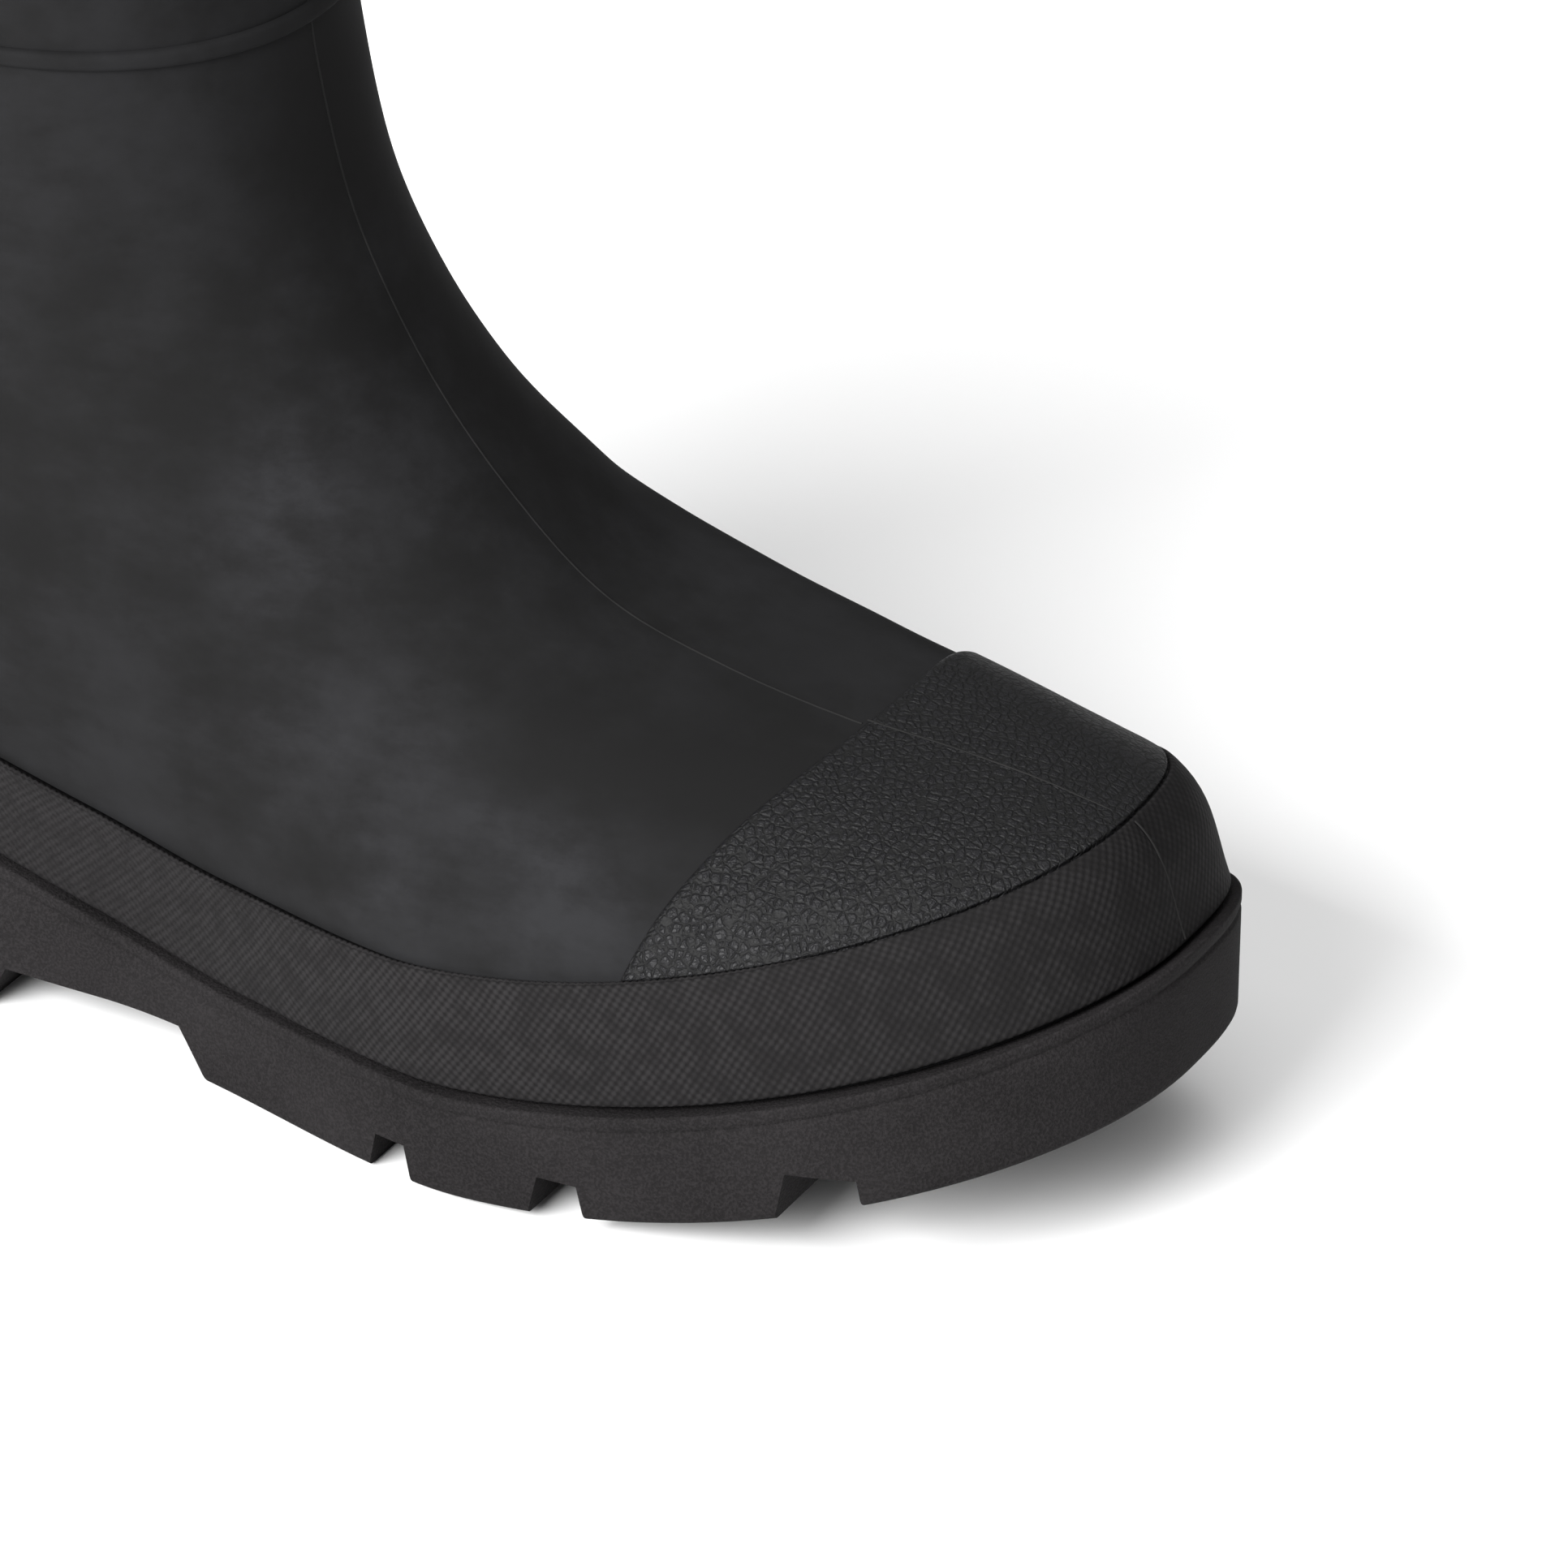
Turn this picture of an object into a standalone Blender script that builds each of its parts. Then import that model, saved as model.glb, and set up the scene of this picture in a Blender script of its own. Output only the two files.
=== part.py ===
"""Right-foot moulded rubber boot: hollow upper, rand, toe cap, bands, lugged outsole and insole.

Frame in metres: +X to the toe, +Z up, floor at z = 0, origin at the centre of the heel's flat rest.
The lateral side of the boot faces -Y.
"""
import math

import bpy
import numpy as np

MM = 0.001

# Driving sizes in millimetres
SOLE_TIP_X = 250.0
SOLE_BACK_X = -42.0
BALL_HALF_LAT = 53.1
BALL_HALF_MED = 52.4
WAIST_HALF_LAT = 38.0
WAIST_HALF_MED = 32.0
HEEL_HALF = 36.5
HEEL_CAP_LEN = 38.0
TOE_CAP_LEN_LAT = 105.5
TOE_CAP_LEN_MED = 86.0
TOE_POWER_LAT = 2.2
TOE_POWER_MED = 2.85
TIP_SHIFT_Y = 2.7
LIP_HEIGHT = 18.7
HEEL_LIP_HEIGHT = 34.0
HEEL_RAMP_START = 12.0
HEEL_RAMP_END = 95.0
SPRING_START_X = 133.9
SPRING_RISE = 21.3
SPRING_POWER = 1.83
TOE_THICKEN = 0.0374
CLEARANCE = 0.3
BAND_CLEARANCE = 0.4
SIDE_ROUND = 1.5
GROOVE_DEPTH = 0.6
GROOVE_TOP = 2.6
GROOVE_MID = 3.6
GROOVE_LOW = 4.4
LEDGE_WIDTH = 9.0
TRAY_DEPTH = 4.0
WALL_FOOT = 2.7
WALL_SHAFT = 2.2
RAND_THICK = 2.2
RAND_FOOT_RING = 0.03
RAND_EDGE_RING = 0.05
RAND_FOOT_ROUND = 0.4
RAND_TOP_ROUND = 0.7
CAP_THICK = 1.3
CAP_GAP_RING = 0.035
CAP_EDGE_X = 188.2
CAP_EDGE_SKEW = 0.229
CAP_EDGE_SWEEP = 0.0042
ANKLE_Z = 144.0
SHAFT_TOP_Z = 376.0
CALF_FRONT_X = 87.0
CALF_BACK_X = -43.0
CALF_HALF = 55.5
CALF_ROUND = 50.0
WALL_CHANGE_RING = 6.0
WALL_CHANGE_SPAN = 5.0
ANKLE_BAND_Z = 179.6
ANKLE_BAND_TALL = 3.4
BAND_EDGE = 0.6
ANKLE_BAND_THICK = 1.2
ANKLE_BAND_SLOPE = 4.0
COLLAR_BAND_TALL = 9.0
COLLAR_BAND_THICK = 1.4
COLLAR_BAND_DROP = 0.5
ARCH_DEPTH = 9.0
LUG_DEPTH = 7.0
LUG_GAP = 12.0
CUT_REACH = 10.0
COLUMNS = 72
CAP_COLUMNS = 20

# Outer surface of the upper, one row per ring from the sole to the collar, as shares of the sizes below
RING_COLUMNS = (
    "front_x", "front_z", "back_x", "back_z", "heel_len", "heel_w", "waist_lat", "waist_med",
    "ball_lat", "ball_med", "toe_lat", "toe_med", "power_lat", "power_med", "tip_y", "sag", "roll",
)
FOOT_RINGS = (
    (0.984, 0.000, 0.91, 0.000, 0.95, 0.89, 0.90, 0.89, 0.93, 0.93, 0.97, 0.96, 2.20, 3.10, 1.00, 1.00, 0.00),
    (0.944, 0.211, 0.94, 0.180, 0.95, 0.93, 0.91, 0.90, 0.91, 0.88, 0.93, 0.95, 1.96, 3.00, 0.96, 0.92, 0.03),
    (0.906, 0.238, 0.95, 0.262, 0.95, 0.96, 0.93, 0.99, 0.85, 0.83, 0.93, 0.99, 2.15, 2.57, 0.89, 0.62, 0.13),
    (0.833, 0.264, 0.96, 0.335, 0.95, 0.97, 0.96, 1.11, 0.76, 0.78, 0.91, 1.00, 2.10, 2.42, 0.82, 0.30, 0.19),
    (0.747, 0.281, 0.95, 0.407, 0.95, 0.99, 0.97, 1.20, 0.70, 0.78, 0.87, 0.99, 2.10, 2.46, 0.74, 0.10, 0.20),
    (0.651, 0.323, 0.93, 0.490, 0.97, 1.00, 0.99, 1.30, 0.70, 0.83, 0.80, 0.91, 2.05, 2.56, 0.67, 0.00, 0.15),
    (0.563, 0.398, 0.91, 0.572, 1.00, 1.03, 1.01, 1.35, 0.72, 0.89, 0.74, 0.86, 2.05, 2.55, 0.56, 0.00, 0.10),
    (0.485, 0.567, 0.88, 0.690, 1.02, 1.06, 1.04, 1.39, 0.74, 0.90, 0.68, 0.81, 2.05, 2.42, 0.48, 0.00, 0.05),
    (0.426, 0.758, 0.85, 0.836, 1.05, 1.11, 1.07, 1.39, 0.76, 0.89, 0.61, 0.73, 2.05, 2.27, 0.44, 0.00, 0.00),
    (0.382, 0.962, 0.83, 1.000, 1.10, 1.15, 1.09, 1.37, 0.78, 0.87, 0.55, 0.67, 2.10, 2.20, 0.37, 0.00, 0.00),
)
SHAFT_RINGS = (
    (0.994, 0.115, 0.80, 0.121, 0.88, 0.78, 0.78, 0.79, 0.78, 0.81, 1.00, 1.00, 2.10, 2.24, 0.33, 0.00, 0.00),
    (0.955, 0.241, 0.81, 0.241, 0.90, 0.80, 0.80, 0.81, 0.80, 0.82, 0.93, 0.93, 2.10, 2.22, 0.30, 0.00, 0.00),
    (0.941, 0.457, 0.85, 0.457, 0.92, 0.86, 0.86, 0.86, 0.86, 0.86, 0.92, 0.92, 2.10, 2.16, 0.22, 0.00, 0.00),
    (0.963, 0.716, 0.93, 0.716, 0.96, 0.94, 0.94, 0.94, 0.94, 0.94, 0.96, 0.96, 2.05, 2.08, 0.11, 0.00, 0.00),
    (1.000, 1.000, 1.00, 1.000, 1.00, 1.00, 1.00, 1.00, 1.00, 1.00, 1.00, 1.00, 2.00, 2.00, 0.00, 0.00, 0.00),
)
FOOT_SIZES = {
    "front_x": SOLE_TIP_X, "back_x": SOLE_BACK_X, "heel_len": HEEL_CAP_LEN, "heel_w": HEEL_HALF,
    "waist_lat": WAIST_HALF_LAT, "waist_med": WAIST_HALF_MED, "ball_lat": BALL_HALF_LAT,
    "ball_med": BALL_HALF_MED, "toe_lat": TOE_CAP_LEN_LAT, "toe_med": TOE_CAP_LEN_MED, "tip_y": TIP_SHIFT_Y,
}
SHAFT_SIZES = {
    "front_x": CALF_FRONT_X, "back_x": CALF_BACK_X, "heel_len": CALF_ROUND, "heel_w": CALF_HALF,
    "waist_lat": CALF_HALF, "waist_med": CALF_HALF, "ball_lat": CALF_HALF,
    "ball_med": CALF_HALF, "toe_lat": CALF_ROUND, "toe_med": CALF_ROUND, "tip_y": TIP_SHIFT_Y,
}
TOP_RING = len(FOOT_RINGS) + len(SHAFT_RINGS) - 1
RAND_TOP_RING = 1.0
UPPER_ROWS = (0.0, 0.5, 1.0, 1.5, 2.0, 2.5, 3.0, 3.5, 4.0, 4.6, 5.3, 6.0, 6.7, 7.4, 8.2, 9.0, 10.0, 10.9, 12.4, 14.0)

# Grooves across the tread: centre as a share of the sole's tip, half widths as shares of the lug gap
TREAD_COLUMNS = ("centre_x", "half_low", "half_root")
TREAD = (
    (0.514, 0.46, 0.25),
    (0.644, 0.52, 0.30),
    (0.823, 0.63, 0.47),
    (-0.084, 0.33, 0.21),
    (0.076, 0.33, 0.21),
)
CHANNEL_SHARES = (0.312, 0.928)
CHANNEL_HALF = 3.0
CHANNEL_DEPTH = 4.5
ARCH_SHARES = (0.152, 0.176, 0.320, 0.348)


def smooth(t):
    """Eases from 0 to 1 with flat ends."""
    t = np.clip(t, 0.0, 1.0)
    return t * t * (3.0 - 2.0 * t)


def cap_shape(distance, length, power):
    """Gives the half width share of a superelliptic end at a distance from its tip."""
    t = np.clip(1.0 - distance / length, 0.0, 1.0)
    return np.power(np.clip(1.0 - np.power(t, power), 0.0, 1.0), 1.0 / power)


def spring_z(x):
    """Gives the floor-side height of the tread, rising to the toe."""
    t = np.clip((x - SPRING_START_X) / 100.0, 0.0, None)
    return SPRING_RISE * np.power(t, SPRING_POWER)


def lip_z(x):
    """Gives the height of the outsole's lip along the boot."""
    ramp = (HEEL_LIP_HEIGHT - LIP_HEIGHT) * (1.0 - smooth((x - HEEL_RAMP_START) / (HEEL_RAMP_END - HEEL_RAMP_START)))
    thicken = TOE_THICKEN * np.clip(x - SPRING_START_X, 0.0, None)
    return LIP_HEIGHT + ramp + spring_z(x) + thicken


def half_width(x, side, row):
    """Gives the signed y of a ring at x for side -1 (lateral) or +1 (medial)."""
    ball = np.where(side < 0, row["ball_lat"], row["ball_med"])
    waist = np.where(side < 0, row["waist_lat"], row["waist_med"])
    toe_len = np.where(side < 0, row["toe_lat"], row["toe_med"])
    power = np.where(side < 0, row["power_lat"], row["power_med"])
    x_heel = row["back_x"] + row["heel_len"]
    x_ball = np.maximum(row["front_x"] - toe_len, x_heel + 0.001)
    x_waist = x_heel + 0.45 * (x_ball - x_heel)
    rear = row["heel_w"] + (waist - row["heel_w"]) * smooth((x - x_heel) / (x_waist - x_heel))
    width = rear + (ball - waist) * smooth((x - x_waist) / (x_ball - x_waist))
    back = cap_shape(x - row["back_x"], row["heel_len"], 2.1)
    front = cap_shape(row["front_x"] - x, toe_len, power)
    inner = side * width * back
    outer = row["tip_y"] + (side * ball - row["tip_y"]) * front
    return np.where(x < x_ball, inner, outer)


def ring_table():
    """Gives the rings in millimetres: foot rings rise from the lip to the ankle, shaft rings to the top."""
    rows = []
    for number, shares in enumerate(FOOT_RINGS + SHAFT_RINGS):
        sizes = FOOT_SIZES if number < len(FOOT_RINGS) else SHAFT_SIZES
        row = dict(zip(RING_COLUMNS, shares))
        for name, size in sizes.items():
            row[name] = row[name] * size
        for end, place in (("front", SOLE_TIP_X), ("back", SOLE_BACK_X)):
            foot = float(lip_z(np.array(place * FOOT_RINGS[0][RING_COLUMNS.index(end + "_x")]))) + CLEARANCE
            low, high = (foot, ANKLE_Z) if number < len(FOOT_RINGS) else (ANKLE_Z, SHAFT_TOP_Z)
            row[end + "_z"] = low + (high - low) * row[end + "_z"]
        rows.append([row[name] for name in RING_COLUMNS])
    return np.array(rows)


def ring_spacing(table):
    """Gives the distance from each ring to the next, along the front."""
    x, z = table[:, RING_COLUMNS.index("front_x")], table[:, RING_COLUMNS.index("front_z")]
    return np.hypot(np.diff(x), np.diff(z))


def ring_row(v):
    """Gives the rings' values at a fractional row, by a cubic whose slopes heed the rings' spacing."""
    v = np.clip(np.asarray(v, float), 0.0, TOP_RING)
    low = np.clip(np.floor(v).astype(int), 0, TOP_RING - 1)
    t = (v - low)[..., None]
    gap = ring_spacing(RINGS)[:, None]
    chord = np.diff(RINGS, axis=0) / gap
    before, after = np.vstack([chord[:1], chord]), np.vstack([chord, chord[-1:]])
    behind, ahead = np.vstack([gap[:1], gap]), np.vstack([gap, gap[-1:]])
    slope = (before * ahead + after * behind) / (behind + ahead)
    start, end = slope[low] * gap[low], slope[low + 1] * gap[low]
    t2, t3 = t * t, t * t * t
    value = RINGS[low] * (2 * t3 - 3 * t2 + 1) + start * (t3 - 2 * t2 + t)
    value = value + RINGS[low + 1] * (3 * t2 - 2 * t3) + end * (t3 - t2)
    return {name: value[..., i] for i, name in enumerate(RING_COLUMNS)}


def upper_point(angle, v):
    """Gives a point of the upper's outer surface: angle 0 at the heel, pi at the toe."""
    row = ring_row(v)
    share = 0.5 - 0.5 * np.cos(angle)
    x = row["back_x"] + (row["front_x"] - row["back_x"]) * share
    side = np.where(np.mod(angle, 2.0 * math.pi) < math.pi, -1.0, 1.0)
    y = half_width(x, side, row)
    front, back = RINGS[0, RING_COLUMNS.index("front_x")], RINGS[0, RING_COLUMNS.index("back_x")]
    sole_x = back + (front - back) * share
    chord = lip_z(back) + (lip_z(front) - lip_z(back)) * share
    z = row["back_z"] + (row["front_z"] - row["back_z"]) * share
    z = z + row["sag"] * (lip_z(sole_x) - chord) + row["roll"] * (y - row["tip_y"] * share)
    return np.stack([x, y, z], axis=-1)


RINGS = ring_table()


def wall_point(angle, v):
    """Gives a point of the upper's flat facets, straight between its own rows."""
    rows = np.array(UPPER_ROWS)
    low = np.clip(np.searchsorted(rows, v, side="right") - 1, 0, len(rows) - 2)
    share = ((v - rows[low]) / (rows[low + 1] - rows[low]))[..., None]
    return upper_point(angle, rows[low]) * (1.0 - share) + upper_point(angle, rows[low + 1]) * share


def upper_offset(angle, v, offset):
    """Gives a point at a distance along the outward normal of the upper."""
    step = 0.01
    low, high = np.clip(v - step, 0.0, TOP_RING), np.clip(v + step, 0.0, TOP_RING)
    along = upper_point(angle + step, v) - upper_point(angle - step, v)
    rise = upper_point(angle, high) - upper_point(angle, low)
    normal = np.cross(along, rise)
    normal = normal / np.linalg.norm(normal, axis=-1, keepdims=True)
    return wall_point(angle, v) + normal * np.asarray(offset)[..., None]


def sole_loop(angle, inset, height):
    """Gives one loop round the sole, set in from its outline, with height as a function of x."""
    row = dict(FOOT_SIZES, power_lat=TOE_POWER_LAT, power_med=TOE_POWER_MED)
    for name in ("heel_w", "waist_lat", "waist_med", "ball_lat", "ball_med", "heel_len", "toe_lat", "toe_med"):
        row[name] = row[name] - inset
    row["front_x"] = row["front_x"] - inset
    row["back_x"] = row["back_x"] + inset
    x = row["back_x"] + (row["front_x"] - row["back_x"]) * (0.5 - 0.5 * np.cos(angle))
    side = np.where(np.mod(angle, 2.0 * math.pi) < math.pi, -1.0, 1.0)
    return np.stack([x, half_width(x, side, row), height(x)], axis=-1)


def ring_angles(count):
    """Gives evenly spaced ring angles."""
    return np.arange(count) * (2.0 * math.pi / count)


def loops_to_body(loops, closed, caps):
    """Joins loops of equal length by quads; closed joins the last to the first; caps close the ends."""
    count = len(loops[0])
    vertices = [tuple(p) for loop in loops for p in loop]
    faces = []
    spans = len(loops) if closed else len(loops) - 1
    for i in range(spans):
        a, b = i * count, ((i + 1) % len(loops)) * count
        for j in range(count):
            k = (j + 1) % count
            faces.append((a + j, a + k, b + k, b + j))
    if caps:
        last = (len(loops) - 1) * count
        for j in range(count // 2):
            left, right = j, (count - j) % count
            left_next, right_next = j + 1, count - j - 1
            for base, flip in ((0, True), (last, False)):
                face = []
                for k in (base + left, base + left_next, base + right_next, base + right):
                    if k not in face:
                        face.append(k)
                faces.append(tuple(reversed(face)) if flip else tuple(face))
    return vertices, faces


def material(name, colour, roughness):
    """Makes a plain finish."""
    finish = bpy.data.materials.new(name)
    finish.use_nodes = True
    shader = finish.node_tree.nodes["Principled BSDF"]
    shader.inputs["Base Color"].default_value = (colour[0], colour[1], colour[2], 1.0)
    shader.inputs["Roughness"].default_value = roughness
    return finish


def make_body(name, vertices, faces, finish, is_smooth=True):
    """Adds one named body, sizes given in millimetres."""
    mesh = bpy.data.meshes.new(name)
    mesh.from_pydata([(x * MM, y * MM, z * MM) for x, y, z in vertices], [], faces)
    mesh.validate()
    for polygon in mesh.polygons:
        polygon.use_smooth = is_smooth
    body = bpy.data.objects.new(name, mesh)
    bpy.context.scene.collection.objects.link(body)
    if finish is not None:
        mesh.materials.append(finish)
    return body


def prism(name, outline, low, high):
    """Makes a cutter from a plan outline (counter-clockwise) between two heights."""
    count = len(outline)
    vertices = [(x, y, low) for x, y in outline] + [(x, y, high) for x, y in outline]
    faces = [tuple(reversed(range(count))), tuple(range(count, 2 * count))]
    for i in range(count):
        k = (i + 1) % count
        faces.append((i, k, count + k, count + i))
    return make_body(name, vertices, faces, None, is_smooth=False)


def cross_groove(name, low, root, floor, top, reach):
    """Makes a cutter across the sole: x spans at the floor and at the root."""
    vertices = []
    for y in (-reach, reach):
        vertices += [(low[0], y, floor), (low[1], y, floor), (root[1], y, top), (root[0], y, top)]
    faces = [(0, 1, 2, 3), (7, 6, 5, 4), (0, 4, 5, 1), (1, 5, 6, 2), (2, 6, 7, 3), (3, 7, 4, 0)]
    return make_body(name, vertices, faces, None, is_smooth=False)


def long_channel(name, span, half, depth):
    """Makes a cutter along the tread whose root stays at one depth."""
    stations = np.linspace(span[0], span[1], 23) * SOLE_TIP_X
    vertices = []
    for x in stations:
        base = float(spring_z(x))
        low, high = base - CUT_REACH, base + depth
        for y, z in ((-half, low), (half, low), (half, high), (-half, high)):
            vertices.append((float(x), y, z))
    faces = [(0, 3, 2, 1)]
    for i in range(len(stations) - 1):
        for k in range(4):
            a, b = 4 * i + k, 4 * i + (k + 1) % 4
            faces.append((a, b, b + 4, a + 4))
    end = 4 * (len(stations) - 1)
    faces.append((end, end + 1, end + 2, end + 3))
    return make_body(name, vertices, faces, None, is_smooth=False)


def cut(body, cutter, operation):
    """Applies a cutter to a body through an exact Boolean."""
    cutter.hide_render = True
    cutter.display_type = "WIRE"
    step = body.modifiers.new(cutter.name, "BOOLEAN")
    step.operation = operation
    step.solver = "EXACT"
    step.object = cutter


def build_outsole(finish):
    """Builds the lipped outsole with its tray, arch and tread grooves."""
    angle = ring_angles(COLUMNS)

    def rise(amount):
        return lambda x: lip_z(x) - amount

    loops = [
        sole_loop(angle, SIDE_ROUND, spring_z),
        sole_loop(angle, 0.0, lambda x: spring_z(x) + SIDE_ROUND),
        sole_loop(angle, 0.0, rise(GROOVE_LOW)),
        sole_loop(angle, GROOVE_DEPTH, rise(GROOVE_MID)),
        sole_loop(angle, 0.0, rise(GROOVE_TOP)),
        sole_loop(angle, 0.0, rise(GROOVE_DEPTH)),
        sole_loop(angle, GROOVE_DEPTH, rise(0.0)),
        sole_loop(angle, LEDGE_WIDTH, rise(0.0)),
        sole_loop(angle, LEDGE_WIDTH + CLEARANCE, rise(TRAY_DEPTH)),
    ]
    vertices, faces = loops_to_body(loops, False, True)
    body = make_body("outsole", vertices, faces, finish, is_smooth=False)
    reach = BALL_HALF_LAT + CUT_REACH
    arch_x = [share * SOLE_TIP_X for share in ARCH_SHARES]
    arch = cross_groove("cut_arch", (arch_x[0], arch_x[3]), (arch_x[1], arch_x[2]), -CUT_REACH, ARCH_DEPTH, reach)
    cut(body, arch, "DIFFERENCE")
    for number, values in enumerate(TREAD):
        groove = dict(zip(TREAD_COLUMNS, values))
        centre = groove["centre_x"] * SOLE_TIP_X
        base = float(spring_z(centre))
        half_low, half_root = groove["half_low"] * LUG_GAP, groove["half_root"] * LUG_GAP
        low, root = (centre - half_low, centre + half_low), (centre - half_root, centre + half_root)
        flare = (half_low - half_root) * CUT_REACH / LUG_DEPTH
        wide = (low[0] - flare, low[1] + flare)
        cutter = cross_groove(f"cut_groove_{number}", wide, root, base - CUT_REACH, base + LUG_DEPTH, reach)
        cut(body, cutter, "DIFFERENCE")
    cut(body, long_channel("cut_channel", CHANNEL_SHARES, CHANNEL_HALF, CHANNEL_DEPTH), "DIFFERENCE")
    return body


def build_insole(finish):
    """Builds the insole lying in the outsole's tray."""
    angle = ring_angles(COLUMNS)
    inset = LEDGE_WIDTH + 2.0 * CLEARANCE
    loops = [
        sole_loop(angle, inset + CLEARANCE, lambda x: lip_z(x) - TRAY_DEPTH + CLEARANCE),
        sole_loop(angle, inset + CLEARANCE, lambda x: lip_z(x) + CLEARANCE),
    ]
    vertices, faces = loops_to_body(loops, False, True)
    return make_body("insole", vertices, faces, finish, is_smooth=False)


def build_upper(finish):
    """Builds the hollow upper, open at the collar and over the sole."""
    angle = ring_angles(COLUMNS)
    loops = [upper_point(angle, np.full(COLUMNS, v)) for v in UPPER_ROWS]
    for v in reversed(UPPER_ROWS):
        share = float(smooth((v - WALL_CHANGE_RING) / WALL_CHANGE_SPAN))
        wall = WALL_FOOT + (WALL_SHAFT - WALL_FOOT) * share
        loops.append(upper_offset(angle, np.full(COLUMNS, v), np.full(COLUMNS, -wall)))
    inner_foot = loops[-1]
    inner_foot[:, 2] = loops[0][:, 2]
    vertices, faces = loops_to_body(loops, True, False)
    return make_body("upper", vertices, faces, finish)


def build_strip(name, finish, profile):
    """Builds a closed strip round the upper from (ring row array, offset) pairs."""
    angle = ring_angles(COLUMNS)
    loops = [upper_offset(angle, rows(angle), np.full(COLUMNS, offset)) for rows, offset in profile]
    vertices, faces = loops_to_body(loops, True, False)
    return make_body(name, vertices, faces, finish)


def level_rows(height, slope):
    """Gives the ring row at which the shaft reaches a height, rising by slope to the back."""
    first = len(FOOT_RINGS) - 1
    levels = RINGS[first:, RING_COLUMNS.index("front_z")]

    def rows(angle):
        share = 0.5 + 0.5 * np.cos(angle)
        return np.interp(height + slope * share, levels, first + np.arange(len(levels)))
    return rows


def fixed_rows(v):
    """Gives the same ring row all round."""
    return lambda angle: np.full(len(angle), v)


def build_rand(finish):
    """Builds the rand, the strip that wraps the foot above the outsole."""
    low, high = RAND_FOOT_RING, RAND_TOP_RING
    middle = 0.5 * high
    profile = (
        (fixed_rows(low), CLEARANCE),
        (fixed_rows(low), RAND_THICK - RAND_FOOT_ROUND),
        (fixed_rows(low + RAND_EDGE_RING), RAND_THICK),
        (fixed_rows(middle), RAND_THICK),
        (fixed_rows(high - RAND_EDGE_RING), RAND_THICK),
        (fixed_rows(high), RAND_THICK - RAND_TOP_ROUND),
        (fixed_rows(high), CLEARANCE),
        (fixed_rows(middle), CLEARANCE),
    )
    return build_strip("rand", finish, profile)


def build_band(name, finish, low, tall, thick, slope):
    """Builds a raised band round the shaft."""
    edge = min(BAND_EDGE, 0.25 * tall)
    profile = (
        (level_rows(low, slope), BAND_CLEARANCE),
        (level_rows(low, slope), thick - 0.5 * edge),
        (level_rows(low + edge, slope), thick),
        (level_rows(low + tall - edge, slope), thick),
        (level_rows(low + tall, slope), thick - 0.5 * edge),
        (level_rows(low + tall, slope), BAND_CLEARANCE),
    )
    return build_strip(name, finish, profile)


def build_toe_cap(finish):
    """Builds the toe cap: a shell of the upper's own surface kept in front of the cap edge."""
    angle = math.pi + np.arange(-CAP_COLUMNS, CAP_COLUMNS + 1) * (2.0 * math.pi / COLUMNS)
    count = len(angle)
    rows = np.concatenate([[RAND_TOP_RING + CAP_GAP_RING], np.arange(1.5, 5.5, 0.5)])
    grid_a, grid_v = np.meshgrid(angle, rows)
    outer = upper_offset(grid_a, grid_v, np.full(grid_a.shape, CAP_THICK))
    inner = upper_offset(grid_a, grid_v, np.full(grid_a.shape, CLEARANCE))
    vertices = [tuple(p) for p in outer.reshape(-1, 3)] + [tuple(p) for p in inner.reshape(-1, 3)]
    height = len(rows)
    shift = height * count
    faces = []
    for i in range(height - 1):
        for j in range(count - 1):
            a, b, c, d = i * count + j, i * count + j + 1, (i + 1) * count + j + 1, (i + 1) * count + j
            faces.append((a, b, c, d))
            faces.append((d + shift, c + shift, b + shift, a + shift))
    for j in range(count - 1):
        top = (height - 1) * count
        faces.append((j, j + shift, j + 1 + shift, j + 1))
        faces.append((top + j, top + j + 1, top + j + 1 + shift, top + j + shift))
    for i in range(height - 1):
        a, b = i * count, (i + 1) * count
        faces.append((a, b, b + shift, a + shift))
        a, b = a + count - 1, b + count - 1
        faces.append((b, a, a + shift, b + shift))
    body = make_body("toe_cap", vertices, faces, finish)
    reach = BALL_HALF_LAT + CUT_REACH
    outline = []
    for y in np.linspace(reach, -reach, 25):
        x = CAP_EDGE_X + CAP_EDGE_SKEW * y - CAP_EDGE_SWEEP * y * y
        outline.append((float(x), float(y)))
    front = SOLE_TIP_X + CUT_REACH
    outline += [(front, -reach), (front, reach)]
    cutter = prism("cut_cap_edge", outline, 0.0, ANKLE_Z)
    cut(body, cutter, "INTERSECT")
    return body


def main():
    """Clears the scene and builds every piece."""
    for item in list(bpy.data.objects):
        bpy.data.objects.remove(item, do_unlink=True)
    black = (0.018, 0.018, 0.020)
    build_outsole(material("outsole_rubber", (0.014, 0.013, 0.013), 0.62))
    build_insole(material("insole_fabric", (0.09, 0.085, 0.08), 0.9))
    build_upper(material("upper_rubber", black, 0.45))
    build_rand(material("rand_rubber", (0.016, 0.016, 0.017), 0.5))
    build_toe_cap(material("cap_rubber", (0.017, 0.017, 0.018), 0.42))
    band = material("band_rubber", black, 0.45)
    build_band("ankle_band", band, ANKLE_BAND_Z, ANKLE_BAND_TALL, ANKLE_BAND_THICK, ANKLE_BAND_SLOPE)
    collar = material("collar_rubber", black, 0.45)
    low = SHAFT_TOP_Z - COLLAR_BAND_TALL - COLLAR_BAND_DROP
    build_band("collar_band", collar, low, COLLAR_BAND_TALL, COLLAR_BAND_THICK, 0.0)


main()
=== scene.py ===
"""Looks of a moulded rubber boot for the right foot: skin, grained toe cap, rand, bands and lugged outsole."""

import logging
import math
from dataclasses import dataclass, field
from enum import Enum
from typing import Callable, Optional, Sequence, Union

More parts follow.
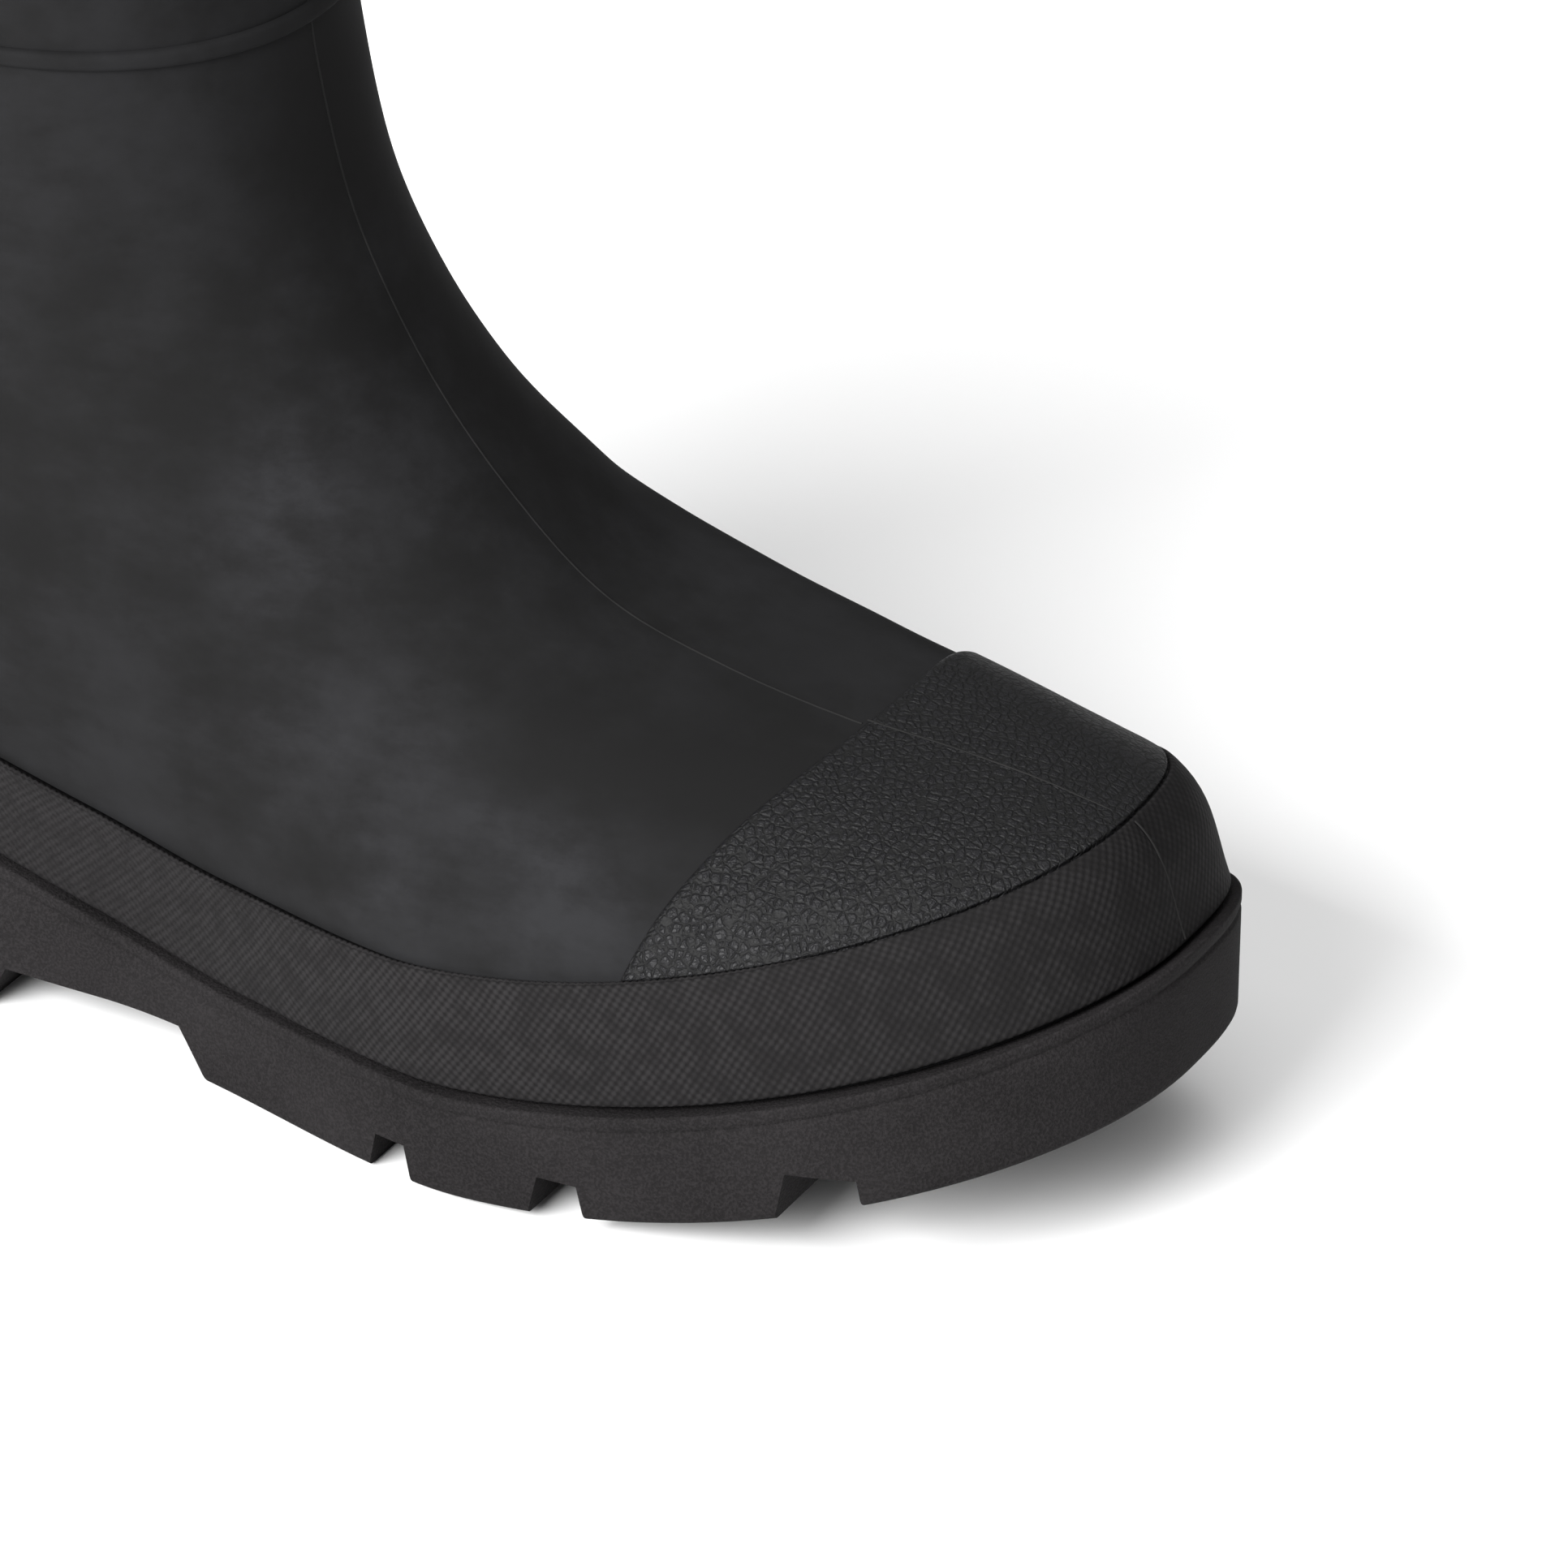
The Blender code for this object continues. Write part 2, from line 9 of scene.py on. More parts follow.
import bpy
import numpy as np
from mathutils import Matrix, Vector


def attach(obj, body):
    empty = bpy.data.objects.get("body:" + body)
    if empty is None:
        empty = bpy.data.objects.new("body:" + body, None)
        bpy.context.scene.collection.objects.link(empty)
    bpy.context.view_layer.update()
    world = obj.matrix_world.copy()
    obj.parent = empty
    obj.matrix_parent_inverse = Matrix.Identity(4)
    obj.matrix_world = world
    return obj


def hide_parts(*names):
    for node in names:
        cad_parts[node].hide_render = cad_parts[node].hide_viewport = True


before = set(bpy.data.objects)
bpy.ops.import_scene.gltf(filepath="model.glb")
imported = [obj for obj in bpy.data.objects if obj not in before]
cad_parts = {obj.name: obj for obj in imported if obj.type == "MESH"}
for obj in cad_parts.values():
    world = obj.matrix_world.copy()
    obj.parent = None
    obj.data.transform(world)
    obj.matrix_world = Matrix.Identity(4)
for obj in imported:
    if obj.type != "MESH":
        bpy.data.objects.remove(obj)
LOG = logging.getLogger("boot")
MM = 0.001
Colour = tuple[float, float, float]
Rows = Callable[[np.ndarray], np.ndarray]


class Side(Enum):
    """Which half of the boot a value belongs to."""

    LATERAL = -1
    MEDIAL = 1


class Slot(Enum):
    """Names of the material slots."""

    OUTSOLE = "outsole"
    INSOLE = "insole"
    UPPER = "upper"
    RAND = "rand"
    TOE_CAP = "toe_cap"
    BAND = "band"


def ease(t: np.ndarray) -> np.ndarray:
    """Eases from 0 to 1 with flat ends."""
    t = np.clip(t, 0.0, 1.0)
    return t * t * (3.0 - 2.0 * t)


def end_shape(distance: np.ndarray, length: np.ndarray, power: np.ndarray) -> np.ndarray:
    """Gives the share of the half width near a rounded end.

    Args:
        distance: how far behind the tip, in millimetres.
        length: how long the rounding is.
        power: how blunt the rounding is, 2 for an ellipse.

    Returns:
        The share of the full half width, from 0 at the tip to 1.
    """
    t = np.clip(1.0 - distance / length, 0.0, 1.0)
    return np.power(np.clip(1.0 - np.power(t, power), 0.0, 1.0), 1.0 / power)


@dataclass
class SoleLine:
    """The outsole's plan outline and its heights along the boot, in millimetres."""

    tip_x: float = 250.0
    back_x: float = -42.0
    ball_lateral: float = 53.1
    ball_medial: float = 52.4
    waist_lateral: float = 38.0
    waist_medial: float = 32.0
    heel_half: float = 36.5
    heel_length: float = 38.0
    toe_lateral: float = 105.5
    toe_medial: float = 86.0
    power_lateral: float = 2.2
    power_medial: float = 2.85
    tip_shift: float = 2.7
    lip: float = 18.7
    heel_lip: float = 34.0
    ramp_start: float = 12.0
    ramp_end: float = 95.0
    spring_start: float = 133.9
    spring_rise: float = 21.3
    spring_power: float = 1.83
    toe_thicken: float = 0.0374

    def tread_z(self, x: np.ndarray) -> np.ndarray:
        """Gives the height of the tread above the floor."""
        t = np.clip((np.asarray(x) - self.spring_start) / 100.0, 0.0, None)
        return self.spring_rise * np.power(t, self.spring_power)

    def lip_z(self, x: np.ndarray) -> np.ndarray:
        """Gives the height of the outsole's lip."""
        x = np.asarray(x, float)
        fall = ease((x - self.ramp_start) / (self.ramp_end - self.ramp_start))
        ramp = (self.heel_lip - self.lip) * (1.0 - fall)
        return self.lip + ramp + self.tread_z(x) + self.toe_thicken * np.clip(x - self.spring_start, 0.0, None)

    def row(self, inset: float) -> dict[str, float]:
        """Gives the outline's values, set in by a distance."""
        return {
            "front_x": self.tip_x - inset, "back_x": self.back_x + inset,
            "heel_len": self.heel_length - inset, "heel_w": self.heel_half - inset,
            "waist_lat": self.waist_lateral - inset, "waist_med": self.waist_medial - inset,
            "ball_lat": self.ball_lateral - inset, "ball_med": self.ball_medial - inset,
            "toe_lat": self.toe_lateral - inset, "toe_med": self.toe_medial - inset,
            "power_lat": self.power_lateral, "power_med": self.power_medial, "tip_y": self.tip_shift,
        }

    def loop(self, angle: np.ndarray, inset: float, height: Rows) -> np.ndarray:
        """Gives one loop round the sole.

        Args:
            angle: 0 at the heel, pi at the toe, lateral side first.
            inset: how far inside the outline.
            height: gives z from x.

        Returns:
            Points, one row each.
        """
        row = self.row(inset)
        x = row["back_x"] + (row["front_x"] - row["back_x"]) * (0.5 - 0.5 * np.cos(angle))
        side = np.where(np.mod(angle, 2.0 * math.pi) < math.pi, -1.0, 1.0)
        return np.stack([x, half_width(x, side, row), height(x)], axis=-1)


def half_width(x: np.ndarray, side: np.ndarray, row: dict) -> np.ndarray:
    """Gives the signed y of an outline.

    Args:
        x: stations along the boot.
        side: -1 on the lateral side, 1 on the medial side.
        row: the outline's values by name.

    Returns:
        The y of each station.
    """
    ball = np.where(side < 0, row["ball_lat"], row["ball_med"])
    waist = np.where(side < 0, row["waist_lat"], row["waist_med"])
    toe_len = np.where(side < 0, row["toe_lat"], row["toe_med"])
    power = np.where(side < 0, row["power_lat"], row["power_med"])
    x_heel = row["back_x"] + row["heel_len"]
    x_ball = np.maximum(row["front_x"] - toe_len, x_heel + 0.001)
    x_waist = x_heel + 0.45 * (x_ball - x_heel)
    rear = row["heel_w"] + (waist - row["heel_w"]) * ease((x - x_heel) / (x_waist - x_heel))
    width = rear + (ball - waist) * ease((x - x_waist) / (x_ball - x_waist))
    back = end_shape(x - row["back_x"], row["heel_len"], 2.1)
    front = end_shape(row["front_x"] - x, toe_len, power)
    return np.where(x < x_ball, side * width * back, row["tip_y"] + (side * ball - row["tip_y"]) * front)


@dataclass
class Crease:
    """A soft trough with a low ridge beside it, between two places on the upper."""

    start: tuple[float, float]
    end: tuple[float, float]
    width: float
    depth: float
    bow: float = 0.0


RING_NAMES = (
    "front_x", "front_z", "back_x", "back_z", "heel_len", "heel_w", "waist_lat", "waist_med",
    "ball_lat", "ball_med", "toe_lat", "toe_med", "power_lat", "power_med", "tip_y", "sag", "roll",
)


@dataclass
class UpperForm:
    """The upper's outer surface: a ring per row from the sole to the collar.

    The foot rings are shares of the sole's sizes and of the rise to the ankle, the shaft rings
    shares of the calf's sizes and of the rise to the collar. All sizes are in millimetres.
    """

    sole: SoleLine = field(default_factory=SoleLine)
    ankle_z: float = 144.0
    top_z: float = 376.0
    calf_front: float = 87.0
    calf_back: float = -43.0
    calf_half: float = 55.5
    calf_round: float = 50.0
    clearance: float = 0.3
    foot_rings: tuple = (
        (0.984, 0.000, 0.91, 0.000, 0.95, 0.89, 0.90, 0.89, 0.93, 0.93, 0.97, 0.96, 2.20, 3.10, 1.00, 1.00, 0.00),
        (0.944, 0.211, 0.94, 0.180, 0.95, 0.93, 0.91, 0.90, 0.91, 0.88, 0.93, 0.95, 1.96, 3.00, 0.96, 0.92, 0.03),
        (0.906, 0.238, 0.95, 0.262, 0.95, 0.96, 0.93, 0.99, 0.85, 0.83, 0.93, 0.99, 2.15, 2.57, 0.89, 0.62, 0.13),
        (0.833, 0.264, 0.96, 0.335, 0.95, 0.97, 0.96, 1.11, 0.76, 0.78, 0.91, 1.00, 2.10, 2.42, 0.82, 0.30, 0.19),
        (0.747, 0.281, 0.95, 0.407, 0.95, 0.99, 0.97, 1.20, 0.70, 0.78, 0.87, 0.99, 2.10, 2.46, 0.74, 0.10, 0.20),
        (0.651, 0.323, 0.93, 0.490, 0.97, 1.00, 0.99, 1.30, 0.70, 0.83, 0.80, 0.91, 2.05, 2.56, 0.67, 0.00, 0.15),
        (0.563, 0.398, 0.91, 0.572, 1.00, 1.03, 1.01, 1.35, 0.72, 0.89, 0.74, 0.86, 2.05, 2.55, 0.56, 0.00, 0.10),
        (0.485, 0.567, 0.88, 0.690, 1.02, 1.06, 1.04, 1.39, 0.74, 0.90, 0.68, 0.81, 2.05, 2.42, 0.48, 0.00, 0.05),
        (0.426, 0.758, 0.85, 0.836, 1.05, 1.11, 1.07, 1.39, 0.76, 0.89, 0.61, 0.73, 2.05, 2.27, 0.44, 0.00, 0.00),
        (0.382, 0.962, 0.83, 1.000, 1.10, 1.15, 1.09, 1.37, 0.78, 0.87, 0.55, 0.67, 2.10, 2.20, 0.37, 0.00, 0.00),
    )
    shaft_rings: tuple = (
        (0.994, 0.115, 0.80, 0.121, 0.88, 0.78, 0.78, 0.79, 0.78, 0.81, 1.00, 1.00, 2.10, 2.24, 0.33, 0.00, 0.00),
        (0.955, 0.241, 0.81, 0.241, 0.90, 0.80, 0.80, 0.81, 0.80, 0.82, 0.93, 0.93, 2.10, 2.22, 0.30, 0.00, 0.00),
        (0.941, 0.457, 0.85, 0.457, 0.92, 0.86, 0.86, 0.86, 0.86, 0.86, 0.92, 0.92, 2.10, 2.16, 0.22, 0.00, 0.00),
        (0.963, 0.716, 0.93, 0.716, 0.96, 0.94, 0.94, 0.94, 0.94, 0.94, 0.96, 0.96, 2.05, 2.08, 0.11, 0.00, 0.00),
        (1.000, 1.000, 1.00, 1.000, 1.00, 1.00, 1.00, 1.00, 1.00, 1.00, 1.00, 1.00, 2.00, 2.00, 0.00, 0.00, 0.00),
    )
    creases: tuple[Crease, ...] = (
        Crease((171.0, 6.6), (122.0, 4.6), 7.0, 0.10, 0.30),
        Crease((118.0, 3.3), (127.0, 2.9), 1.6, -0.05, 0.0),
        Crease((131.0, 6.1), (125.0, 4.8), 2.0, -0.05, 0.1),
        Crease((191.0, 5.2), (234.0, 2.2), 7.0, 0.12, -0.30),
        Crease((192.0, 6.4), (246.0, 6.2), 7.5, -0.50, 0.0),
        Crease((138.0, 8.2), (215.0, 8.2), 11.0, 0.12, -0.35),
        Crease((146.0, 9.6), (205.0, 9.6), 11.0, 0.12, -0.25),
        Crease((96.0, 7.6), (134.0, 8.3), 10.0, 0.18, 0.0),
        Crease((270.0, 7.6), (236.0, 8.3), 10.0, 0.15, 0.0),
        Crease((-34.0, 7.4), (34.0, 7.4), 9.0, 0.35, 0.2),
    )

    def __post_init__(self) -> None:
        """Works the rings out in millimetres."""
        sole = self.sole
        foot = dict(sole.row(0.0), power_lat=1.0, power_med=1.0)
        calf = dict.fromkeys(("heel_w", "waist_lat", "waist_med", "ball_lat", "ball_med"), self.calf_half)
        calf.update(dict.fromkeys(("heel_len", "toe_lat", "toe_med"), self.calf_round))
        calf.update(front_x=self.calf_front, back_x=self.calf_back, tip_y=sole.tip_shift)
        first = dict(zip(RING_NAMES, self.foot_rings[0]))
        low = {end: float(sole.lip_z(foot[end + "_x"] * first[end + "_x"])) + self.clearance for end in ("front", "back")}
        table = []
        for number, shares in enumerate(self.foot_rings + self.shaft_rings):
            on_foot = number < len(self.foot_rings)
            row = dict(zip(RING_NAMES, shares))
            for name, size in (foot if on_foot else calf).items():
                row[name] *= size
            for end in ("front", "back"):
                start, stop = (low[end], self.ankle_z) if on_foot else (self.ankle_z, self.top_z)
                row[end + "_z"] = start + (stop - start) * row[end + "_z"]
            table.append([row[name] for name in RING_NAMES])
        self.rings = np.array(table)

    @property
    def top(self) -> int:
        """Gives the last ring's number."""
        return len(self.rings) - 1

    def ring(self, v: np.ndarray) -> dict[str, np.ndarray]:
        """Gives the ring values at fractional rows, by a cubic whose slopes heed the spacing."""
        table = self.rings
        v = np.clip(np.asarray(v, float), 0.0, self.top)
        low = np.clip(np.floor(v).astype(int), 0, self.top - 1)
        t = (v - low)[..., None]
        gap = np.hypot(np.diff(table[:, 0]), np.diff(table[:, 1]))[:, None]
        chord = np.diff(table, axis=0) / gap
        before, after = np.vstack([chord[:1], chord]), np.vstack([chord, chord[-1:]])
        behind, ahead = np.vstack([gap[:1], gap]), np.vstack([gap, gap[-1:]])
        slope = (before * ahead + after * behind) / (behind + ahead)
        start, end = slope[low] * gap[low], slope[low + 1] * gap[low]
        t2, t3 = t * t, t * t * t
        value = table[low] * (2 * t3 - 3 * t2 + 1) + start * (t3 - 2 * t2 + t)
        value = value + table[low + 1] * (3 * t2 - 2 * t3) + end * (t3 - t2)
        return {name: value[..., i] for i, name in enumerate(RING_NAMES)}

    def point(self, angle: np.ndarray, v: np.ndarray) -> np.ndarray:
        """Gives points of the outer surface: angle 0 at the heel, pi at the toe."""
        row = self.ring(v)
        share = 0.5 - 0.5 * np.cos(angle)
        x = row["back_x"] + (row["front_x"] - row["back_x"]) * share
        side = np.where(np.mod(angle, 2.0 * math.pi) < math.pi, -1.0, 1.0)
        y = half_width(x, side, row)
        front, back = self.rings[0, 0], self.rings[0, 2]
        chord = self.sole.lip_z(back) + (self.sole.lip_z(front) - self.sole.lip_z(back)) * share
        sag = row["sag"] * (self.sole.lip_z(back + (front - back) * share) - chord)
        z = row["back_z"] + (row["front_z"] - row["back_z"]) * share + sag
        return np.stack([x, y, z + row["roll"] * (y - row["tip_y"] * share)], axis=-1)

    def normal(self, angle: np.ndarray, v: np.ndarray) -> np.ndarray:
        """Gives outward unit normals."""
        step = 0.01
        low, high = np.clip(v - step, 0.0, self.top), np.clip(v + step, 0.0, self.top)
        along = self.point(angle + step, v) - self.point(angle - step, v)
        normal = np.cross(along, self.point(angle, high) - self.point(angle, low))
        return normal / np.linalg.norm(normal, axis=-1, keepdims=True)

    def relief(self, points: np.ndarray) -> np.ndarray:
        """Gives how far each surface point is pushed out by the soft creases."""
        total = np.zeros(points.shape[:-1])
        for crease in self.creases:
            t = np.linspace(0.0, 1.0, 41)
            angle = np.radians(crease.start[0] + (crease.end[0] - crease.start[0]) * t)
            rows = crease.start[1] + (crease.end[1] - crease.start[1]) * t + crease.bow * np.sin(math.pi * t)
            line = self.point(angle, rows)
            best = np.full(points.shape[:-1], 1e9)
            where = np.zeros(points.shape[:-1])
            for i, spot in enumerate(line):
                gap = np.linalg.norm(points - spot, axis=-1)
                where = np.where(gap < best, t[i], where)
                best = np.minimum(best, gap)
            fade = np.sqrt(np.clip(np.sin(math.pi * where), 0.0, 1.0))
            trough = np.exp(-((best / crease.width) ** 2))
            ridge = np.exp(-(((best - 1.9 * crease.width) / crease.width) ** 2))
            total += crease.depth * fade * (0.45 * ridge - trough)
        return total

    def offset(self, angle: np.ndarray, v: np.ndarray, out: Union[float, np.ndarray], creased: bool = True) -> np.ndarray:
        """Gives points at a distance along the normal.

        Args:
            angle: ring angles.
            v: ring rows.
            out: distance along the outward normal.
            creased: whether the soft creases push the points.

        Returns:
            The points, one row each.
        """
        angle, v = np.broadcast_arrays(np.asarray(angle, float), np.asarray(v, float))
        points = self.point(angle, v)
        push = np.broadcast_to(np.asarray(out, float), angle.shape)
        if creased:
            push = push + self.relief(points)
        return points + self.normal(angle, v) * push[..., None]

    def rows_by_length(self, low: float, high: float, step: float) -> np.ndarray:
        """Gives rows from low to high spaced about evenly along the front and back."""
        fine = np.linspace(low, high, 600)
        front = self.point(np.full(600, math.pi), fine)
        back = self.point(np.full(600, 0.6), fine)
        run = [np.linalg.norm(np.diff(line, axis=0), axis=1) for line in (front, back)]
        length = np.concatenate([[0.0], np.cumsum(np.maximum(run[0], run[1]))])
        count = max(2, int(length[-1] / step) + 1)
        return np.interp(np.linspace(0.0, length[-1], count), length, fine)

    def level_rows(self, height: float, slope: float) -> Rows:
        """Gives the row at which the shaft reaches a height that rises to the back."""
        first = len(self.foot_rings) - 1
        levels = self.rings[first:, 1]

        def rows(angle: np.ndarray) -> np.ndarray:
            """Gives the row at each angle."""
            goal = height + slope * (0.5 + 0.5 * np.cos(angle))
            return np.interp(goal, levels, first + np.arange(len(levels)))
        return rows


class Piece:
    """Makes mesh objects in metres from sizes in millimetres and ties them to the frame."""

    @staticmethod
    def angles(count: int) -> np.ndarray:
        """Gives evenly spaced ring angles."""
        return np.arange(count) * (2.0 * math.pi / count)

    @staticmethod
    def mesh(name: str, points: np.ndarray, faces: Sequence, uv: Optional[np.ndarray] = None) -> bpy.types.Object:
        """Adds one smooth mesh object.

        Args:
            name: the object's name.
            points: vertices in millimetres.
            faces: vertex numbers, one tuple per face.
            uv: one pair per face corner, or None.

        Returns:
            The new object.
        """
        mesh = bpy.data.meshes.new(name)
        mesh.from_pydata((np.asarray(points) * MM).tolist(), [], [tuple(int(k) for k in f) for f in faces])
        mesh.polygons.foreach_set("use_smooth", [True] * len(mesh.polygons))
        if uv is not None:
            layer = mesh.uv_layers.new(name="run")
            layer.data.foreach_set("uv", np.asarray(uv, float).ravel())
        mesh.update()
        item = bpy.data.objects.new(name, mesh)
        bpy.context.scene.collection.objects.link(item)
        return item

    @staticmethod
    def grid(
        name: str, points: np.ndarray, wrap_rows: bool, wrap_columns: bool, uv: Optional[np.ndarray] = None,
    ) -> bpy.types.Object:
        """Adds a mesh from a grid of points.

        Args:
            name: the object's name.
            points: rows by columns by 3, in millimetres.
            wrap_rows: whether the last row joins the first.
            wrap_columns: whether the last column joins the first.
            uv: rows by columns by 2, one more of each where they wrap, or None.

        Returns:
            The new object.
        """
        rows, columns = points.shape[:2]
        spans = rows - (not wrap_rows), columns - (not wrap_columns)
        i, j = np.meshgrid(np.arange(spans[0]), np.arange(spans[1]), indexing="ij")
        i, j = i.ravel(), j.ravel()
        corners = ((i, j), (i, j + 1), (i + 1, j + 1), (i + 1, j))
        faces = np.stack([(a % rows) * columns + (b % columns) for a, b in corners], axis=1)
        coords = None if uv is None else np.stack([uv[a, b] for a, b in corners], axis=1).reshape(-1, 2)
        return Piece.mesh(name, points.reshape(-1, 3), faces, coords)

    @staticmethod
    def run_uv(points: np.ndarray, heights: np.ndarray, period: float) -> np.ndarray:
        """Gives a grid of (length round, height) pairs in millimetres, whole periods round.

        Args:
            points: rows by columns by 3; the middle row is measured.
            heights: one height per row.
            period: the pattern's repeat round the boot.

        Returns:
            Rows + 1 by columns + 1 by 2.
        """
        line = points[len(points) // 4]
        step = np.linalg.norm(np.roll(line, -1, axis=0) - line, axis=1)
        run = np.concatenate([[0.0], np.cumsum(step)])
        run *= round(run[-1] / period) * period / run[-1]
        tall = np.append(heights, heights[0])
        return np.stack(np.meshgrid(tall, run, indexing="ij")[::-1], axis=-1)

    @staticmethod
    def place(item: bpy.types.Object, finish: bpy.types.Material, slot: Slot, node: Optional[str] = None) -> bpy.types.Object:
        """Dresses a piece, ties it to the body and lets it stand for a node."""
        item.data.materials.clear()
        item.data.materials.append(finish)
        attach(item, "root")
        if node is not None:
            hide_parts(node)
        LOG.info("%s: %d faces", item.name, len(item.data.polygons))
        return item


class Value:
    """A number in a shader: a socket with Python operators."""

    def __init__(self, kit: "NodeKit", socket: bpy.types.NodeSocket) -> None:
        self.kit = kit
        self.socket = socket

    def _with(self, operation: str, other: Union["Value", float], swap: bool = False) -> "Value":
        """Adds a Math node on this value and another."""
        pair = (other, self) if swap else (self, other)
        return self.kit.math(operation, *pair)

    def __add__(self, other: Union["Value", float]) -> "Value":
        """Adds."""
        return self._with("ADD", other)

    __radd__ = __add__

    def __sub__(self, other: Union["Value", float]) -> "Value":
        """Subtracts."""
        return self._with("SUBTRACT", other)

    def __rsub__(self, other: Union["Value", float]) -> "Value":
        """Subtracts from a number."""
        return self._with("SUBTRACT", other, swap=True)

    def __mul__(self, other: Union["Value", float]) -> "Value":
        """Multiplies."""
        return self._with("MULTIPLY", other)

    __rmul__ = __mul__

    def __truediv__(self, other: Union["Value", float]) -> "Value":
        """Divides."""
        return self._with("DIVIDE", other)

    def __pow__(self, other: Union["Value", float]) -> "Value":
        """Raises to a power."""
        return self._with("POWER", other)

    def smooth(self, low: float, high: float) -> "Value":
        """Gives 0 below low, 1 above high, and an eased change between."""
        node = self.kit.add("ShaderNodeMapRange", {"interpolation_type": "SMOOTHSTEP"}, {"Value": self, "From Min": low, "From Max": high})
        return Value(self.kit, node.outputs["Result"])


class NodeKit:
    """Adds nodes to one material."""

    def __init__(self, name: str) -> None:
        """Starts a material with a Principled shader."""
        self.material = bpy.data.materials.new(name)
        self.material.use_nodes = True
        self.tree = self.material.node_tree
        self.shader = self.tree.nodes["Principled BSDF"]

    def add(self, kind: str, settings: dict, values: dict) -> bpy.types.Node:
        """Adds any node.

        Args:
            kind: the node's type.
            settings: properties that are set first.
            values: sockets by name or number, each a value or a link.

        Returns:
            The node.
        """
        node = self.tree.nodes.new(kind)
        for key, value in settings.items():
            setattr(node, key, value)
        for key, value in values.items():
            self.feed(node.inputs[key], value)
        return node

    def feed(self, socket: bpy.types.NodeSocket, value: object) -> None:
        """Sets a socket from a number, a colour, a socket or a Value."""
        if isinstance(value, Value):
            value = value.socket
        if isinstance(value, bpy.types.NodeSocket):
            self.tree.links.new(value, socket)
        elif isinstance(value, tuple) and len(value) == 3 and socket.type == "RGBA":
            socket.default_value = (*value, 1.0)
        else:
            socket.default_value = value

    def math(self, operation: str, *values: Union[Value, float]) -> Value:
        """Adds a Math node."""
        node = self.add("ShaderNodeMath", {"operation": operation}, dict(enumerate(values)))
        return Value(self, node.outputs[0])

    def place(self) -> bpy.types.NodeSocket:
        """Gives the position on the object, in metres."""
        return self.add("ShaderNodeTexCoord", {}, {}).outputs["Object"]

    def run(self) -> tuple[Value, Value]:
        """Gives the length round and the height that the mesh carries, in millimetres."""
        uv = self.add("ShaderNodeUVMap", {"uv_map": "run"}, {}).outputs["UV"]
        node = self.add("ShaderNodeSeparateXYZ", {}, {"Vector": uv})
        return Value(self, node.outputs["X"]), Value(self, node.outputs["Y"])

    def axes(self) -> tuple[Value, Value, Value]:
        """Gives x, y and z on the object in millimetres."""
        node = self.add("ShaderNodeSeparateXYZ", {}, {"Vector": self.place()})
        return tuple(Value(self, node.outputs[k]) * 1000.0 for k in ("X", "Y", "Z"))

    def distance(self, spot: Colour) -> Value:
        """Gives the distance in millimetres from a spot on the object."""
        centre = tuple(v * MM for v in spot)
        node = self.add("ShaderNodeVectorMath", {"operation": "DISTANCE"}, {0: self.place(), 1: centre})
        return Value(self, node.outputs["Value"]) * 1000.0

    def noise(self, size: float, detail: float = 3.0, roughness: float = 0.5, stretch: Colour = (1.0, 1.0, 1.0)) -> Value:
        """Gives soft noise of about the given size in millimetres."""
        spread = self.add("ShaderNodeVectorMath", {"operation": "MULTIPLY"}, {0: self.place(), 1: stretch})
        node = self.add("ShaderNodeTexNoise", {}, {"Vector": spread.outputs[0], "Scale": 1000.0 / size, "Detail": detail, "Roughness": roughness})
        return Value(self, node.outputs["Fac"])

    def cells(self, size: float, warp: float) -> Value:
        """Gives the distance to the borders of warped cells.

        Args:
            size: cell size in millimetres.
            warp: how far the cells are bent, as a share of their size.

        Returns:
            0 on a border, larger inside a cell.
        """
        bend = self.add("ShaderNodeTexNoise", {}, {"Vector": self.place(), "Scale": 900.0 / size, "Detail": 2.0})
        moved = self.add("ShaderNodeVectorMath", {"operation": "MULTIPLY_ADD"}, {0: bend.outputs["Color"], 1: (warp * size * MM,) * 3, 2: self.place()})
        node = self.add("ShaderNodeTexVoronoi", {"feature": "DISTANCE_TO_EDGE"}, {"Vector": moved.outputs[0], "Scale": 1000.0 / size})
        return Value(self, node.outputs["Distance"])

    def mix(self, share: Value, low: Union[Colour, bpy.types.NodeSocket], high: Union[Colour, bpy.types.NodeSocket]) -> bpy.types.NodeSocket:
        """Mixes two colours."""
        node = self.add("ShaderNodeMix", {"data_type": "RGBA"}, {"Factor": share})
        self.feed(node.inputs[6], low)
        self.feed(node.inputs[7], high)
        return node.outputs[2]

    def bump(self, height: Value, depth: float, below: Optional[bpy.types.NodeSocket] = None) -> bpy.types.NodeSocket:
        """Turns a height from 0 to 1 into a bump of a depth in millimetres."""
        values = {"Height": height, "Distance": depth * MM, "Strength": 1.0}
        if below is not None:
            values["Normal"] = below
        return self.add("ShaderNodeBump", {}, values).outputs["Normal"]

    def finish(self, colour: object, roughness: object, normal: Optional[bpy.types.NodeSocket], fixed: dict) -> bpy.types.Material:
        """Feeds the shader and gives the material."""
        self.feed(self.shader.inputs["Base Color"], colour)
        self.feed(self.shader.inputs["Roughness"], roughness)
        if normal is not None:
            self.feed(self.shader.inputs["Normal"], normal)
        for key, value in fixed.items():
            self.shader.inputs[key].default_value = value
        return self.material


